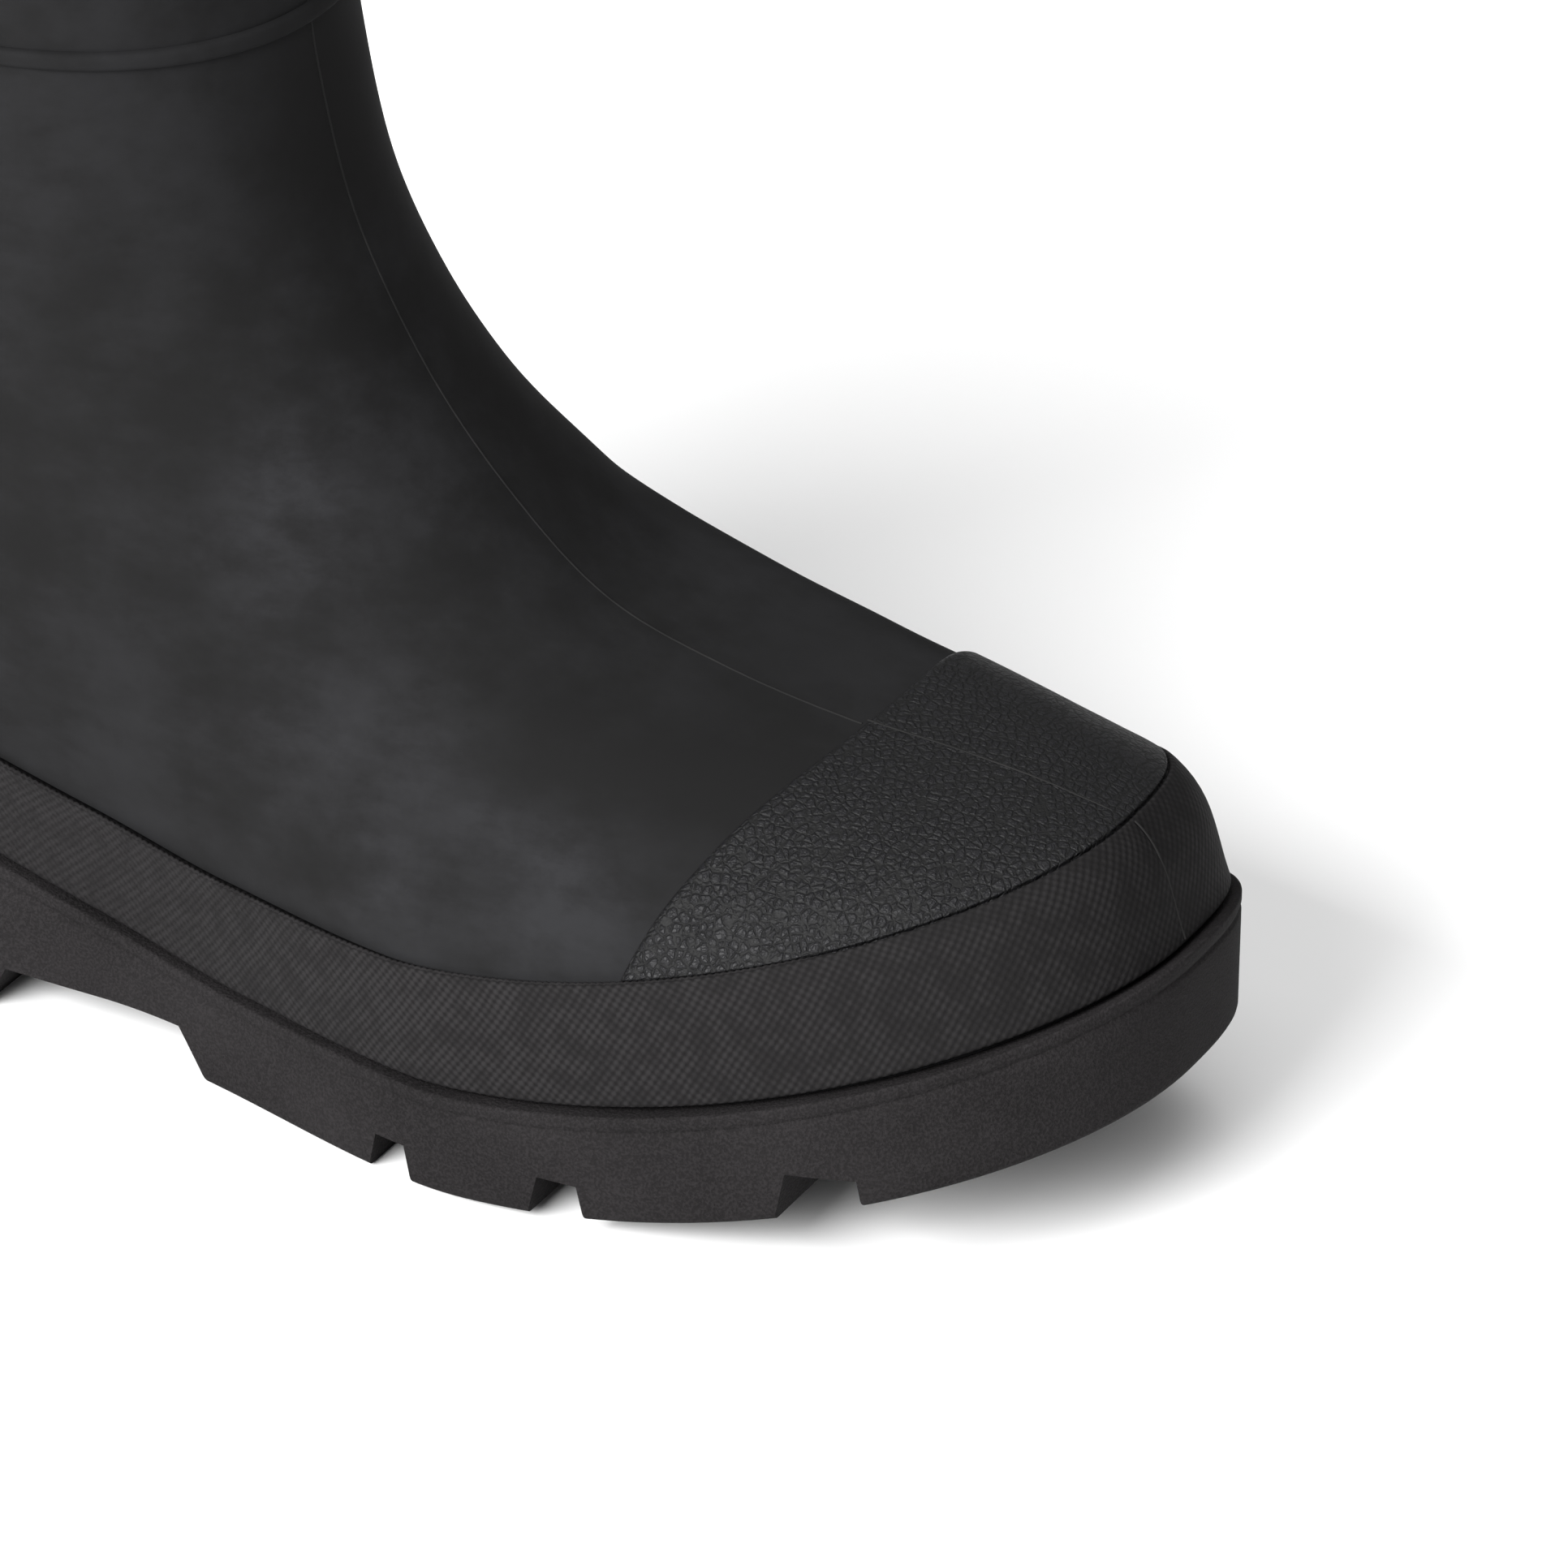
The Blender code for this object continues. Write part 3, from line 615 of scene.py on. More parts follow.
@dataclass(frozen=True)
class SkinFinish:
    """Smooth black rubber with a faint bloom, plus painted light and painted shade in placed spots."""

    name: str = "skin_rubber"
    dark: Colour = (0.0080, 0.0079, 0.0080)
    pale: Colour = (0.0166, 0.0167, 0.0179)
    rough: float = 0.80
    specular: float = 0.05
    # Spots (x, y, z, radius, strength) in millimetres. Where the strength is positive they are painted light, low on
    # the lit lateral vamp and ball. Where it is negative they are painted shade, higher on the vamp, on the medial vamp
    # and at the shaft front. The bloom noise mottles them.
    bloom_and_painted_light_spots: tuple[tuple[float, float, float, float, float], ...] = (
        (130.0, -31.0, 75.0, 13.0, 0.20),
        (118.0, -37.0, 66.0, 11.0, 0.22),
        (156.0, -42.0, 53.0, 11.0, 0.50),
        (99.0, -31.0, 98.0, 10.0, 0.50),
        (97.0, -29.0, 112.0, 8.0, 0.45),
        (125.0, -44.0, 49.0, 9.0, 0.35),
        (100.0, -37.0, 70.0, 9.0, 0.30),
        (138.0, -37.0, 62.0, 4.0, 0.40),
        (146.0, -37.0, 61.0, 4.0, 0.40),
        (154.0, -37.0, 60.0, 4.0, 0.40),
        (112.0, -12.0, 110.0, 12.0, 0.22),
        (104.0, -25.0, 130.0, 12.0, 0.22),
        (168.0, -20.0, 72.0, 15.0, -0.40),
        (140.0, -30.0, 71.0, 8.0, -0.30),
        (138.0, -24.0, 79.0, 9.0, -0.20),
        (173.0, 12.0, 79.0, 12.0, -0.25),
        (88.0, 3.0, 165.0, 16.0, -0.40),
    )

    def make(self) -> bpy.types.Material:
        """Builds the material."""
        kit = NodeKit(self.name)
        cloud = kit.noise(75.0, 3.0, 0.55)
        patch = kit.noise(20.0, 7.0, 0.66)
        streak = kit.noise(9.0, 6.0, 0.68, (0.6, 1.0, 1.5))
        grain = kit.noise(0.55, 2.0)
        share = (cloud * 0.4 + patch * 0.35 + streak * 0.25).smooth(0.38, 0.64) * 0.62
        # Each spot adds painted light where its strength is positive and painted shade where it is negative, mottled by
        # the bloom noise.
        for x, y, z, radius, strength in self.bloom_and_painted_light_spots:
            painted_light = 1.0 - kit.distance((x, y, z)).smooth(0.0, 2.2 * radius)
            share = share + painted_light * strength * (0.25 + (patch * 0.6 + streak * 0.6).smooth(0.40, 0.80))
        colour = kit.mix(share, self.dark, self.pale)
        rough = self.rough + 0.10 * (patch - 0.5) + 0.06 * (grain - 0.5)
        normal = kit.bump(patch, 0.04)
        normal = kit.bump(grain, 0.006, normal)
        return kit.finish(colour, rough, normal, {"Specular IOR Level": self.specular})


@dataclass(frozen=True)
class GrainFinish:
    """Leather-like moulded grain of the toe cap."""

    name: str = "cap_rubber"
    dark: Colour = (0.0036, 0.0036, 0.0037)
    pale: Colour = (0.0057, 0.0056, 0.0065)
    cell: float = 1.55
    depth: float = 0.20

    def make(self) -> bpy.types.Material:
        """Builds the material."""
        kit = NodeKit(self.name)
        large = kit.cells(self.cell, 0.75).smooth(-0.02, 0.24)
        small = kit.cells(self.cell * 0.5, 0.6).smooth(0.0, 0.20)
        level = kit.noise(6.0, 3.0)
        height = large * (0.68 + 0.32 * small) * (0.7 + 0.6 * level)
        speck = kit.noise(0.5, 2.0)
        colour = kit.mix(height.smooth(0.10, 0.85) * (0.55 + 0.9 * speck), self.dark, self.pale)
        rough = 0.62 - 0.14 * height
        normal = kit.bump(height, self.depth)
        return kit.finish(colour, rough, normal, {"Specular IOR Level": 0.17})


@dataclass(frozen=True)
class HatchFinish:
    """Fine diagonal cross-hatch of the rand."""

    name: str = "rand_rubber"
    dark: Colour = (0.0064, 0.0060, 0.0062)
    pale: Colour = (0.0160, 0.0151, 0.0156)
    pitch: float = 1.25
    depth: float = 0.16

    def make(self) -> bpy.types.Material:
        """Builds the material."""
        kit = NodeKit(self.name)
        run, tall = kit.run()
        wander = (kit.noise(7.0, 3.0, 0.6) - 0.5) * 1.1
        along, _, _ = kit.axes()
        turn = 2.0 * math.pi / (self.pitch * math.sqrt(2.0))
        rising = kit.math("SINE", (run - tall + wander) * turn) * 0.5 + 0.5
        falling = kit.math("SINE", (run + tall + wander) * turn) * 0.5 + 0.5
        toe = along.smooth(140.0, 225.0)
        lattice = (rising ** 0.8) * (1.0 - toe * 0.25) * 0.55 + (falling ** 0.8) * (0.45 - toe * 0.2)
        speck = kit.noise(0.6, 3.0, 0.65)
        rear = 1.0 - along.smooth(60.0, 150.0)
        worn = kit.noise(4.0, 2.0).smooth(0.35, 0.6) * 0.45 + 0.55
        height = lattice * worn * (1.0 - rear * 0.45) + speck * (0.40 + rear * 0.45)
        colour = kit.mix((height * 0.8).smooth(0.15, 0.95), self.dark, self.pale)
        rough = 0.78 - 0.08 * lattice
        normal = kit.bump(height, self.depth)
        return kit.finish(colour, rough, normal, {"Specular IOR Level": 0.07})


@dataclass(frozen=True)
class SoleFinish:
    """Spark-grained, slightly brown-black outsole rubber."""

    name: str = "sole_rubber"
    dark: Colour = (0.0070, 0.0064, 0.0066)
    pale: Colour = (0.0190, 0.0174, 0.0181)

    def make(self) -> bpy.types.Material:
        """Builds the material."""
        kit = NodeKit(self.name)
        fine = kit.noise(0.5, 2.0, 0.6)
        cloud = kit.noise(30.0, 3.0)
        share = fine.smooth(0.38, 0.66) * 0.55 + cloud.smooth(0.3, 0.7) * 0.3
        colour = kit.mix(share, self.dark, self.pale)
        rough = 0.80 + 0.14 * (fine - 0.5)
        normal = kit.bump(fine, 0.26)
        return kit.finish(colour, rough, normal, {"Specular IOR Level": 0.06})


@dataclass(frozen=True)
class KnitFinish:
    """Knitted lining cloth."""

    name: str = "lining_knit"
    dark: Colour = (0.020, 0.020, 0.021)
    pale: Colour = (0.075, 0.074, 0.072)
    pitch: float = 1.6

    def make(self) -> bpy.types.Material:
        """Builds the material."""
        kit = NodeKit(self.name)
        run, tall = kit.run()
        turn = 2.0 * math.pi / self.pitch
        wale = kit.math("ABSOLUTE", kit.math("SINE", run * (turn * 0.5)))
        course = kit.math("SINE", tall * turn + wale * 2.4) * 0.5 + 0.5
        height = course * 0.6 + wale * 0.4
        colour = kit.mix(height.smooth(0.1, 0.95), self.dark, self.pale)
        normal = kit.bump(height, 0.22)
        return kit.finish(colour, 0.92, normal, {"Specular IOR Level": 0.2})


@dataclass(frozen=True)
class FloorFinish:
    """Plain pale floor."""

    name: str = "pale_floor"
    colour: Colour = (0.93, 0.93, 0.93)

    def make(self) -> bpy.types.Material:
        """Builds the material."""
        kit = NodeKit(self.name)
        tone = kit.noise(900.0, 2.0)
        colour = kit.mix(tone.smooth(0.3, 0.7), self.colour, tuple(c * 0.985 for c in self.colour))
        return kit.finish(colour, 0.75, None, {"Specular IOR Level": 0.2})


@dataclass
class Outsole:
    """The lugged outsole, in millimetres."""

    line: SoleLine = field(default_factory=SoleLine)
    edge_round: float = 1.5
    lip_round: float = 0.7
    groove_depth: float = 0.4
    groove_top: float = 1.9
    groove_low: float = 4.0
    ledge: float = 9.0
    tray: float = 4.0
    arch: tuple[float, ...] = (38.0, 44.0, 80.0, 87.0)
    arch_depth: float = 9.0
    lug_depth: float = 7.0
    tread: tuple[tuple[float, float, float], ...] = (
        (128.5, 5.5, 3.0),
        (161.0, 6.2, 3.6),
        (205.8, 7.6, 5.6),
        (-21.0, 4.0, 2.5),
        (19.0, 4.0, 2.5),
    )
    channel_x: tuple[float, float] = (78.0, 232.0)
    channel_half: float = 3.0
    channel_depth: float = 4.5
    columns: int = 480

    def loops(self, angle: np.ndarray) -> list[np.ndarray]:
        """Gives the loops from the tread up the wall, over the lip and down into the tray."""
        line = self.line
        out = []
        for k in range(5):
            turn = 0.5 * math.pi * k / 4
            inset = self.edge_round * (1.0 - math.sin(turn))
            out.append((inset, lambda x, r=self.edge_round * (1.0 - math.cos(turn)): line.tread_z(x) + r))
        for share in (0.2, 0.4, 0.6, 0.8):
            out.append((0.0, lambda x, s=share: (line.tread_z(x) + self.edge_round) * (1 - s) + (line.lip_z(x) - self.groove_low) * s))
        middle = 0.5 * (self.groove_top + self.groove_low)
        half = 0.5 * (self.groove_low - self.groove_top)
        for k in range(7):
            t = -1.0 + k / 3.0
            inset = self.groove_depth * math.cos(0.5 * math.pi * t) ** 2
            out.append((inset, lambda x, d=middle - half * t: line.lip_z(x) - d))
        for k in range(6):
            turn = 0.5 * math.pi * k / 5
            inset = self.lip_round * (1.0 - math.cos(turn))
            out.append((inset, lambda x, d=self.lip_round * (1.0 - math.sin(turn)): line.lip_z(x) - d))
        out.append((self.ledge, line.lip_z))
        out.append((self.ledge + 0.3, lambda x: line.lip_z(x) - self.tray))
        return [line.loop(angle, inset, height) for inset, height in out]

    def body(self) -> bpy.types.Object:
        """Builds the closed body before the tread is cut."""
        angle = Piece.angles(self.columns)
        loops = self.loops(angle)
        count, rows = self.columns, len(loops)
        faces = []
        for i in range(rows - 1):
            for j in range(count):
                k = (j + 1) % count
                faces.append((i * count + j, i * count + k, (i + 1) * count + k, (i + 1) * count + j))
        for j in range(count // 2):
            corners = (j, j + 1, count - j - 1, (count - j) % count)
            for base, turn in ((0, -1), ((rows - 1) * count, 1)):
                ring = list(dict.fromkeys(base + c for c in corners))
                faces.append(tuple(ring[::turn]))
        return Piece.mesh("outsole_rubber", np.concatenate(loops), faces)

    @staticmethod
    def bar(name: str, sections: Sequence[Sequence[tuple[float, float, float]]]) -> bpy.types.Object:
        """Builds a cutter from four-cornered sections."""
        points = np.array([p for section in sections for p in section], float)
        faces = [(0, 3, 2, 1)]
        for i in range(len(sections) - 1):
            for k in range(4):
                a, b = 4 * i + k, 4 * i + (k + 1) % 4
                faces.append((a, b, b + 4, a + 4))
        end = 4 * (len(sections) - 1)
        faces.append((end, end + 1, end + 2, end + 3))
        return Piece.mesh(name, points, faces)

    def cutters(self) -> list[bpy.types.Object]:
        """Builds the cutters for the arch, the cross grooves and the channel."""
        reach = self.line.ball_lateral + 10.0

        def across(name: str, low: tuple, root: tuple, floor: float, top: float) -> bpy.types.Object:
            """Builds one bar across the sole."""
            sections = [[(root[0], y, top), (root[1], y, top), (low[1], y, floor), (low[0], y, floor)] for y in (-reach, reach)]
            return self.bar(name, sections)

        a = self.arch
        found = [across("cut_arch", (a[0], a[3]), (a[1], a[2]), -1.0, self.arch_depth)]
        for number, (centre, low, root) in enumerate(self.tread):
            base = float(self.line.tread_z(centre))
            spans = (centre - low, centre + low), (centre - root, centre + root)
            found.append(across(f"cut_{number}", *spans, base - 4.0, base + self.lug_depth))
        sections = []
        for x in np.linspace(*self.channel_x, 45):
            base, h = float(self.line.tread_z(x)), self.channel_half
            sections.append([(x, -h, base - 6.0), (x, h, base - 6.0), (x, h, base + self.channel_depth), (x, -h, base + self.channel_depth)])
        found.append(self.bar("cut_channel", sections))
        return found

    def build(self, finish: bpy.types.Material) -> None:
        """Builds, cuts and dresses the outsole."""
        item = self.body()
        cutters = self.cutters()
        for cutter in cutters:
            step = item.modifiers.new(cutter.name, "BOOLEAN")
            step.operation, step.solver, step.object = "DIFFERENCE", "EXACT", cutter
        bpy.context.view_layer.update()
        graph = bpy.context.evaluated_depsgraph_get()
        cut = bpy.data.meshes.new_from_object(item.evaluated_get(graph))
        item.modifiers.clear()
        item.data = cut
        for cutter in cutters:
            bpy.data.objects.remove(cutter)
        cut.set_sharp_from_angle(angle=math.radians(32.0))
        Piece.place(item, finish, Slot.OUTSOLE, "outsole")


@dataclass
class Insole:
    """The cloth-covered sheet in the outsole's tray."""

    line: SoleLine = field(default_factory=SoleLine)
    inset: float = 9.9
    low: float = 3.7
    columns: int = 240

    def build(self, finish: bpy.types.Material) -> None:
        """Builds and dresses the insole."""
        angle = Piece.angles(self.columns)
        line, count = self.line, self.columns
        steps = ((0.0, self.low), (0.0, 0.2), (0.3, -0.15), (0.8, -0.3), (1.6, -0.3))
        loops = [line.loop(angle, self.inset + inset, lambda x, d=drop: line.lip_z(x) - d) for inset, drop in steps]
        faces = []
        for i in range(len(loops) - 1):
            for j in range(count):
                k = (j + 1) % count
                faces.append((i * count + j, i * count + k, (i + 1) * count + k, (i + 1) * count + j))
        for j in range(count // 2):
            corners = (j, j + 1, count - j - 1, (count - j) % count)
            for base, turn in ((0, -1), ((len(loops) - 1) * count, 1)):
                ring = list(dict.fromkeys(base + c for c in corners))
                faces.append(tuple(ring[::turn]))
        points = np.concatenate(loops)
        flat = np.array([points[k][:2] for face in faces for k in face])
        Piece.place(Piece.mesh("insole_cloth", points, faces, flat), finish, Slot.INSOLE, "insole")


@dataclass
class Upper:
    """The hollow upper with its lining and mould line."""

    form: UpperForm = field(default_factory=UpperForm)
    wall_foot: float = 2.7
    wall_shaft: float = 2.2
    columns: int = 288
    row_step: float = 2.1
    line_half: float = 0.27
    line_height: float = 0.12

    def wall(self, rows: np.ndarray) -> np.ndarray:
        """Gives the wall at each row."""
        return self.wall_foot + (self.wall_shaft - self.wall_foot) * ease((rows - 6.0) / 5.0)

    def shell(self, finish: bpy.types.Material) -> None:
        """Builds the outer and inner skins as one closed body."""
        angle = Piece.angles(self.columns)
        rows = self.form.rows_by_length(0.0, float(self.form.top), self.row_step)
        outer = self.form.offset(angle[None, :], rows[:, None], 0.0)
        inner_rows = rows[::-5]
        inner = self.form.offset(angle[None, :], inner_rows[:, None], -self.wall(inner_rows)[:, None], creased=False)
        inner[-1, :, 2] = outer[0, :, 2]
        rim_high = self.form.offset(angle, np.full(len(angle), rows[-1]), -0.5, creased=False)
        rim_high[:, 2] += 0.35
        item = Piece.grid("upper_skin", np.concatenate([outer, rim_high[None], inner]), True, True)
        Piece.place(item, finish, Slot.UPPER, "upper")

    def lining(self, finish: bpy.types.Material) -> None:
        """Builds the knitted lining just inside the wall."""
        angle = Piece.angles(180)
        rows = self.form.rows_by_length(0.12, float(self.form.top) - 0.08, 5.0)
        depth = self.wall(rows)[:, None]
        face = self.form.offset(angle[None, :], rows[:, None], -(depth + 0.55), creased=False)
        back = self.form.offset(angle[None, :], rows[::-1][:, None], -(depth[::-1] + 0.1), creased=False)
        points = np.concatenate([face[::-1], back[::-1]])
        height = np.concatenate([face[::-1, 0, 2], back[::-1, 0, 2]])
        item = Piece.grid("lining", points, True, True, Piece.run_uv(points, height, 1.6))
        Piece.place(item, finish, Slot.INSOLE)

    def mould_line(self, finish: bpy.types.Material, start: float, end: float, lift: float, name: str) -> None:
        """Builds the thin raised line that the mould leaves down the front."""
        rows = np.linspace(start, end, max(8, int(abs(end - start) * 26)))
        centre = self.form.offset(np.full(len(rows), math.pi), rows, lift)
        normal = self.form.normal(np.full(len(rows), math.pi), rows)
        along = np.gradient(centre, axis=0)
        across = np.cross(normal, along)
        across /= np.linalg.norm(across, axis=1, keepdims=True)
        wander = 1.0 + 0.25 * np.sin(rows * 37.0) * np.sin(rows * 11.3)
        profile = ((-1.0, -0.25), (-0.55, 0.75), (0.0, 1.0), (0.55, 0.75), (1.0, -0.25))
        strips = [centre + across * (self.line_half * s) + normal * (self.line_height * h * wander)[:, None] for s, h in profile]
        item = Piece.grid(name, np.stack(strips, axis=1), False, True)
        Piece.place(item, finish, Slot.UPPER)

    def build(self, skin: bpy.types.Material, knit: bpy.types.Material) -> None:
        """Builds the shell and the lining."""
        self.shell(skin)
        self.lining(knit)


@dataclass
class Strip:
    """A closed strip round the upper, from (row, offset) pairs."""

    form: UpperForm
    name: str
    columns: int
    period: float = 1.0

    def build(self, profile: Sequence[tuple[Rows, float]], creased: bool = True) -> bpy.types.Object:
        """Builds the strip with its length and height on the mesh."""
        angle = Piece.angles(self.columns)
        points = np.stack([self.form.offset(angle, rows(angle), out, creased) for rows, out in profile])
        step = np.linalg.norm(np.diff(points, axis=0), axis=2).mean(axis=1)
        heights = np.concatenate([[0.0], np.cumsum(step)])
        return Piece.grid(self.name, points, True, True, Piece.run_uv(points, heights, self.period))


def fixed(v: float) -> Rows:
    """Gives the same row all round."""
    return lambda angle: np.full(np.shape(angle), v)


@dataclass
class Rand:
    """The hatched strip round the foot and its roped top edge."""

    form: UpperForm = field(default_factory=UpperForm)
    low: float = 0.03
    high: float = 1.0
    thick: float = 2.2
    gap: float = 0.05
    pitch: float = 1.25
    columns: int = 576
    rope_pitch: float = 1.2
    rope_radius: float = 0.42

    def build(self, hatch: bpy.types.Material) -> None:
        """Builds the strip and the rope."""
        profile = [(fixed(self.low), self.gap), (fixed(self.low), 1.2)]
        for k in range(4):
            turn = 0.5 * math.pi * k / 3
            profile.append((fixed(self.low + 0.035 * (1 - math.cos(turn))), self.thick - 0.5 * (1 - math.sin(turn))))
        for v in np.linspace(0.12, 0.93, 12):
            profile.append((fixed(float(v)), self.thick + 0.1 * math.sin(math.pi * v) - 0.25 * float(ease((v - 0.55) / 0.4))))
        for k in range(6):
            turn = 0.5 * math.pi * k / 5
            reach = self.thick - 0.25
            profile.append((fixed(self.high - 0.03 * (1 - math.sin(turn))), reach - 0.55 * (1 - math.cos(turn))))
        profile.append((fixed(self.high), self.gap))
        strip = Strip(self.form, "rand_strip", self.columns, self.pitch * math.sqrt(2.0))
        Piece.place(strip.build(profile), hatch, Slot.RAND, "rand")
        self.rope(hatch)

    def rope(self, finish: bpy.types.Material) -> None:
        """Builds the fine rope that edges the rand behind the toe cap."""
        share = np.linspace(0.0, 1.0, 2600)
        angle = math.radians(139.0) - share * math.radians(139.0 + 142.0)
        coarse = self.form.offset(angle, np.full(len(angle), self.high), self.thick - 0.9)
        run = np.concatenate([[0.0], np.cumsum(np.linalg.norm(np.diff(coarse, axis=0), axis=1))])
        angle = np.interp(np.linspace(0.0, run[-1], 2600), run, angle)
        run = np.linspace(0.0, run[-1], 2600)
        rows = np.full(len(angle), self.high)
        centre = self.form.offset(angle, rows, self.thick - 0.95)
        normal = self.form.normal(angle, rows)
        along = np.gradient(centre, axis=0)
        along /= np.linalg.norm(along, axis=1, keepdims=True)
        rise = np.cross(along, normal)
        rise *= np.sign(rise[:, 2:3])
        fade = ease(np.minimum(run, run[-1] - run) / 6.0)
        loops = []
        for k in range(8):
            turn = 2.0 * math.pi * k / 8
            beat = np.cos(2.0 * math.pi * run / self.rope_pitch + turn)
            radius = self.rope_radius * (0.85 + 0.30 * beat) * (0.15 + 0.85 * fade)
            loops.append(centre + (normal * math.cos(turn) + rise * math.sin(turn)) * radius[:, None])
        item = Piece.grid("rand_rope", np.stack(loops, axis=1), False, True, None)
        Piece.place(item, finish, Slot.RAND)


@dataclass
class ToeCap:
    """The grained shell over the toes."""

    form: UpperForm = field(default_factory=UpperForm)
    thick: float = 1.3
    gap: float = 0.05
    edge_x: float = 188.2
    skew: float = 0.229
    sweep: float = 0.0042
    low: float = 0.985
    rows: int = 150
    columns: int = 181
    edge_round: float = 1.6
    foot_thick: float = 0.35
    groove: float = 0.75

    def edge(self, y: np.ndarray) -> np.ndarray:
        """Gives the x of the cap's back edge."""
        return self.edge_x + self.skew * y - self.sweep * y * y

    def ahead(self, angle: np.ndarray, v: np.ndarray) -> np.ndarray:
        """Gives how far in front of the edge a surface point is."""
        point = self.form.point(angle, v)
        return point[..., 0] - self.edge(point[..., 1])

    def limit(self, rows: np.ndarray, side: Side) -> np.ndarray:
        """Finds the angle at which each row meets the edge, by halving."""
        near = np.full(rows.shape, math.pi)
        far = np.full(rows.shape, math.pi + side.value * 1.9)
        for _ in range(40):
            middle = 0.5 * (near + far)
            inside = self.ahead(middle, rows) > 0.0
            near, far = np.where(inside, middle, near), np.where(inside, far, middle)
        return 0.5 * (near + far)

    def build(self, finish: bpy.types.Material) -> None:
        """Builds and dresses the cap."""
        probe = np.linspace(2.5, 5.0, 2001)
        top = float(probe[np.argmax(self.ahead(np.full(2001, math.pi), probe) < 0.0)])
        share = np.linspace(0.0, 1.0, self.rows) ** 1.3
        rows = self.low + (top - self.low) * (1.0 - (1.0 - share) ** 1.6)
        lateral = self.limit(rows, Side.LATERAL)
        medial = self.limit(rows, Side.MEDIAL)
        t = 0.5 - 0.5 * np.cos(np.linspace(0.0, math.pi, self.columns))
        angle = lateral[:, None] + (medial - lateral)[:, None] * t[None, :]
        v = np.broadcast_to(rows[:, None], angle.shape)
        inside = np.clip(self.ahead(angle, v) * 0.9, 0.0, None)
        near = np.clip(inside / self.edge_round, 0.0, 1.0)
        foot = 1.0 - ease((v - self.low) / 0.5)
        groove = 1.0 - ease((v - self.low - 0.03) / 0.06)
        full = self.thick + self.foot_thick * foot - self.groove * groove
        height = self.gap + (full - self.gap) * np.sqrt(1.0 - (1.0 - near) ** 2)
        outer = self.form.offset(angle, v, height)
        inner = self.form.offset(angle, v, 0.02)
        count, tall = self.columns, self.rows
        shift = count * tall
        faces = []
        for i in range(tall - 1):
            for j in range(count - 1):
                a, b, c, d = i * count + j, i * count + j + 1, (i + 1) * count + j + 1, (i + 1) * count + j
                faces.append((a, b, c, d))
        for j in range(count - 1):
            faces.append((j, j + shift, j + 1 + shift, j + 1))
        points = np.concatenate([outer.reshape(-1, 3), inner[0].reshape(-1, 3)])
        item = Piece.mesh("toe_cap_shell", points, faces)
        Piece.place(item, finish, Slot.TOE_CAP, "toe_cap")


@dataclass
class Bands:
    """The bead above the ankle and the binding at the collar."""

    form: UpperForm = field(default_factory=UpperForm)
    ankle_z: float = 179.6
    ankle_tall: float = 3.4
    ankle_thick: float = 1.2
    ankle_slope: float = 4.0
    collar_tall: float = 9.0
    collar_thick: float = 1.4

    def band(self, name: str, node: str, low: float, tall: float, thick: float, slope: float, finish: bpy.types.Material) -> None:
        """Builds one rounded band."""
        profile = [(self.form.level_rows(low, slope), 0.02)]
        for k in range(13):
            t = k / 12.0
            bulge = max(0.0, 1.0 - abs(2.0 * t - 1.0) ** 3.0) ** 0.5
            profile.append((self.form.level_rows(low + tall * t, slope), 0.05 + (thick - 0.05) * bulge))
        profile.append((self.form.level_rows(low + tall, slope), 0.02))
        strip = Strip(self.form, name, 288)
        Piece.place(strip.build(profile), finish, Slot.BAND, node)

    def build(self, finish: bpy.types.Material) -> None:
        """Builds both bands."""
        self.band("ankle_bead", "ankle_band", self.ankle_z, self.ankle_tall, self.ankle_thick, self.ankle_slope, finish)
        low = self.form.top_z - self.collar_tall - 0.5
        self.band("collar_binding", "collar_band", low, self.collar_tall, self.collar_thick, 0.0, finish)


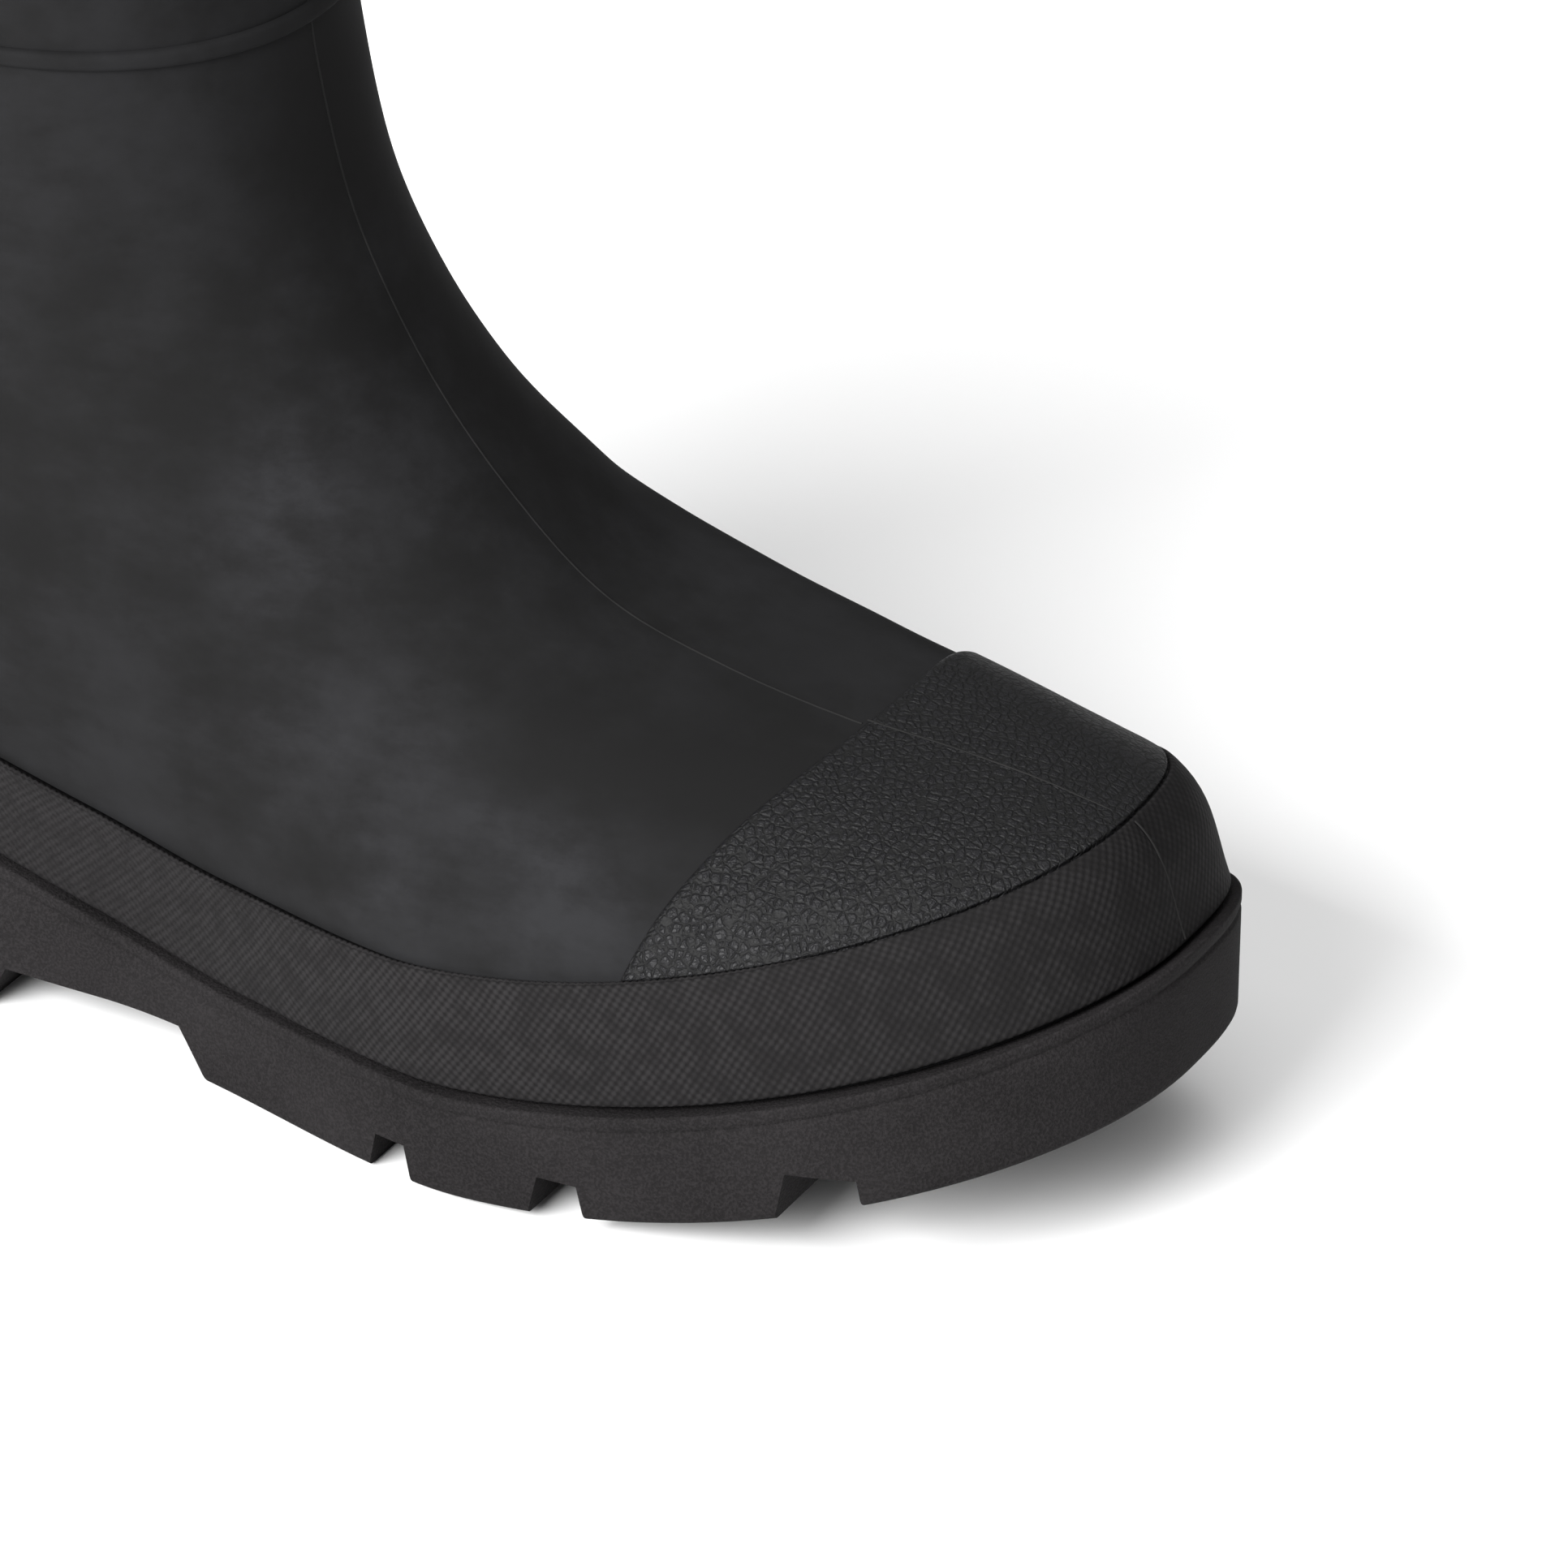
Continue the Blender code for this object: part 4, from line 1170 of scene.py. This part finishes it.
@dataclass
class Studio:
    """Camera, soft lights and the pale floor."""

    azimuth: float = 29.42
    elevation: float = 29.05
    distance: float = 1500.0
    centre: tuple[float, float, float] = (148.0, 0.0, 40.0)
    pixels: float = 1932.0
    scale: float = 7.35
    middle: tuple[float, float] = (794.09, 1062.28)

    def camera(self) -> None:
        """Places the camera at the photograph's angle, turned so that it needs no shift."""
        a, e = math.radians(self.azimuth), math.radians(self.elevation)
        right = Vector((math.cos(a), math.sin(a), 0.0))
        forward = Vector((-math.sin(a) * math.cos(e), math.cos(a) * math.cos(e), -math.sin(e)))
        rise = right.cross(forward)
        eye = Vector(self.centre) - forward * self.distance
        half = 0.5 * self.pixels
        aim = Vector(self.centre) + right * ((half - self.middle[0]) / self.scale) + rise * ((self.middle[1] - half) / self.scale)
        look = (aim - eye).normalized()
        right = (right - look * right.dot(look)).normalized()
        rise = right.cross(look)
        data = bpy.data.cameras.new("camera")
        data.sensor_width = 36.0
        data.lens = 36.0 * (aim - eye).length / (self.pixels / self.scale)
        data.clip_start, data.clip_end = 0.05, 50.0
        item = bpy.data.objects.new("camera", data)
        bpy.context.scene.collection.objects.link(item)
        back = -look
        eye = eye * MM
        item.matrix_world = Matrix((
            (right.x, rise.x, back.x, eye.x), (right.y, rise.y, back.y, eye.y),
            (right.z, rise.z, back.z, eye.z), (0.0, 0.0, 0.0, 1.0),
        ))
        bpy.context.scene.camera = item

    @staticmethod
    def light(name: str, spot: tuple, aim: tuple, size: tuple, energy: float, colour: Colour = (1.0, 1.0, 1.0)) -> None:
        """Adds one soft rectangular light."""
        data = bpy.data.lights.new(name, "AREA")
        data.shape = "RECTANGLE"
        data.size, data.size_y = size
        data.energy = energy
        data.color = colour
        item = bpy.data.objects.new(name, data)
        bpy.context.scene.collection.objects.link(item)
        item.location = Vector(spot)
        item.rotation_euler = (Vector(aim) - Vector(spot)).to_track_quat("-Z", "Y").to_euler()

    def lights(self) -> None:
        """Adds the lights and the even surround."""
        self.light("key", (-0.60, -3.20, 1.90), (0.12, 0.0, 0.06), (2.6, 2.0), 350.0)
        self.light("top", (0.1, -0.1, 2.4), (0.1, 0.0, 0.0), (2.4, 2.4), 36.0)
        world = bpy.data.worlds.new("surround")
        world.use_nodes = True
        world.node_tree.nodes["Background"].inputs["Color"].default_value = (1.0, 1.0, 1.0, 1.0)
        world.node_tree.nodes["Background"].inputs["Strength"].default_value = 0.33
        bpy.context.scene.world = world
        bpy.context.scene.view_settings.view_transform = "Standard"

    def floor(self, finish: bpy.types.Material) -> None:
        """Lays the floor."""
        points = np.array([(-4000.0, -4000.0, -0.2), (4000.0, -4000.0, -0.2), (4000.0, 4000.0, -0.2), (-4000.0, 4000.0, -0.2)])
        item = Piece.mesh("floor", points, [(0, 1, 2, 3)])
        item.data.materials.append(finish)

    def build(self) -> None:
        """Builds the whole studio."""
        self.camera()
        self.lights()
        self.floor(FloorFinish().make())


def main() -> None:
    """Builds every piece in order."""
    logging.basicConfig(level=logging.INFO, format="%(name)s %(message)s")
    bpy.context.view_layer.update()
    Studio().build()
    skin, cap, hatch = SkinFinish().make(), GrainFinish().make(), HatchFinish().make()
    Outsole().build(SoleFinish().make())
    knit = KnitFinish().make()
    Insole().build(knit)
    upper = Upper()
    upper.build(skin, knit)
    Rand().build(hatch)
    ToeCap().build(cap)
    Bands().build(skin)
    # The mould-line flash carries the same painted light and painted shade spots as the skin.
    flash = SkinFinish("flash_rubber", dark=(0.011, 0.011, 0.011), pale=(0.025, 0.024, 0.024), rough=0.66).make()
    upper.mould_line(flash, 13.3, 3.95, 0.0, "mould_line_upper")
    upper.mould_line(flash, 3.9, 1.06, 1.28, "mould_line_cap")
    upper.mould_line(flash, 0.97, 0.06, 2.22, "mould_line_rand")


if __name__ == "__main__":
    main()
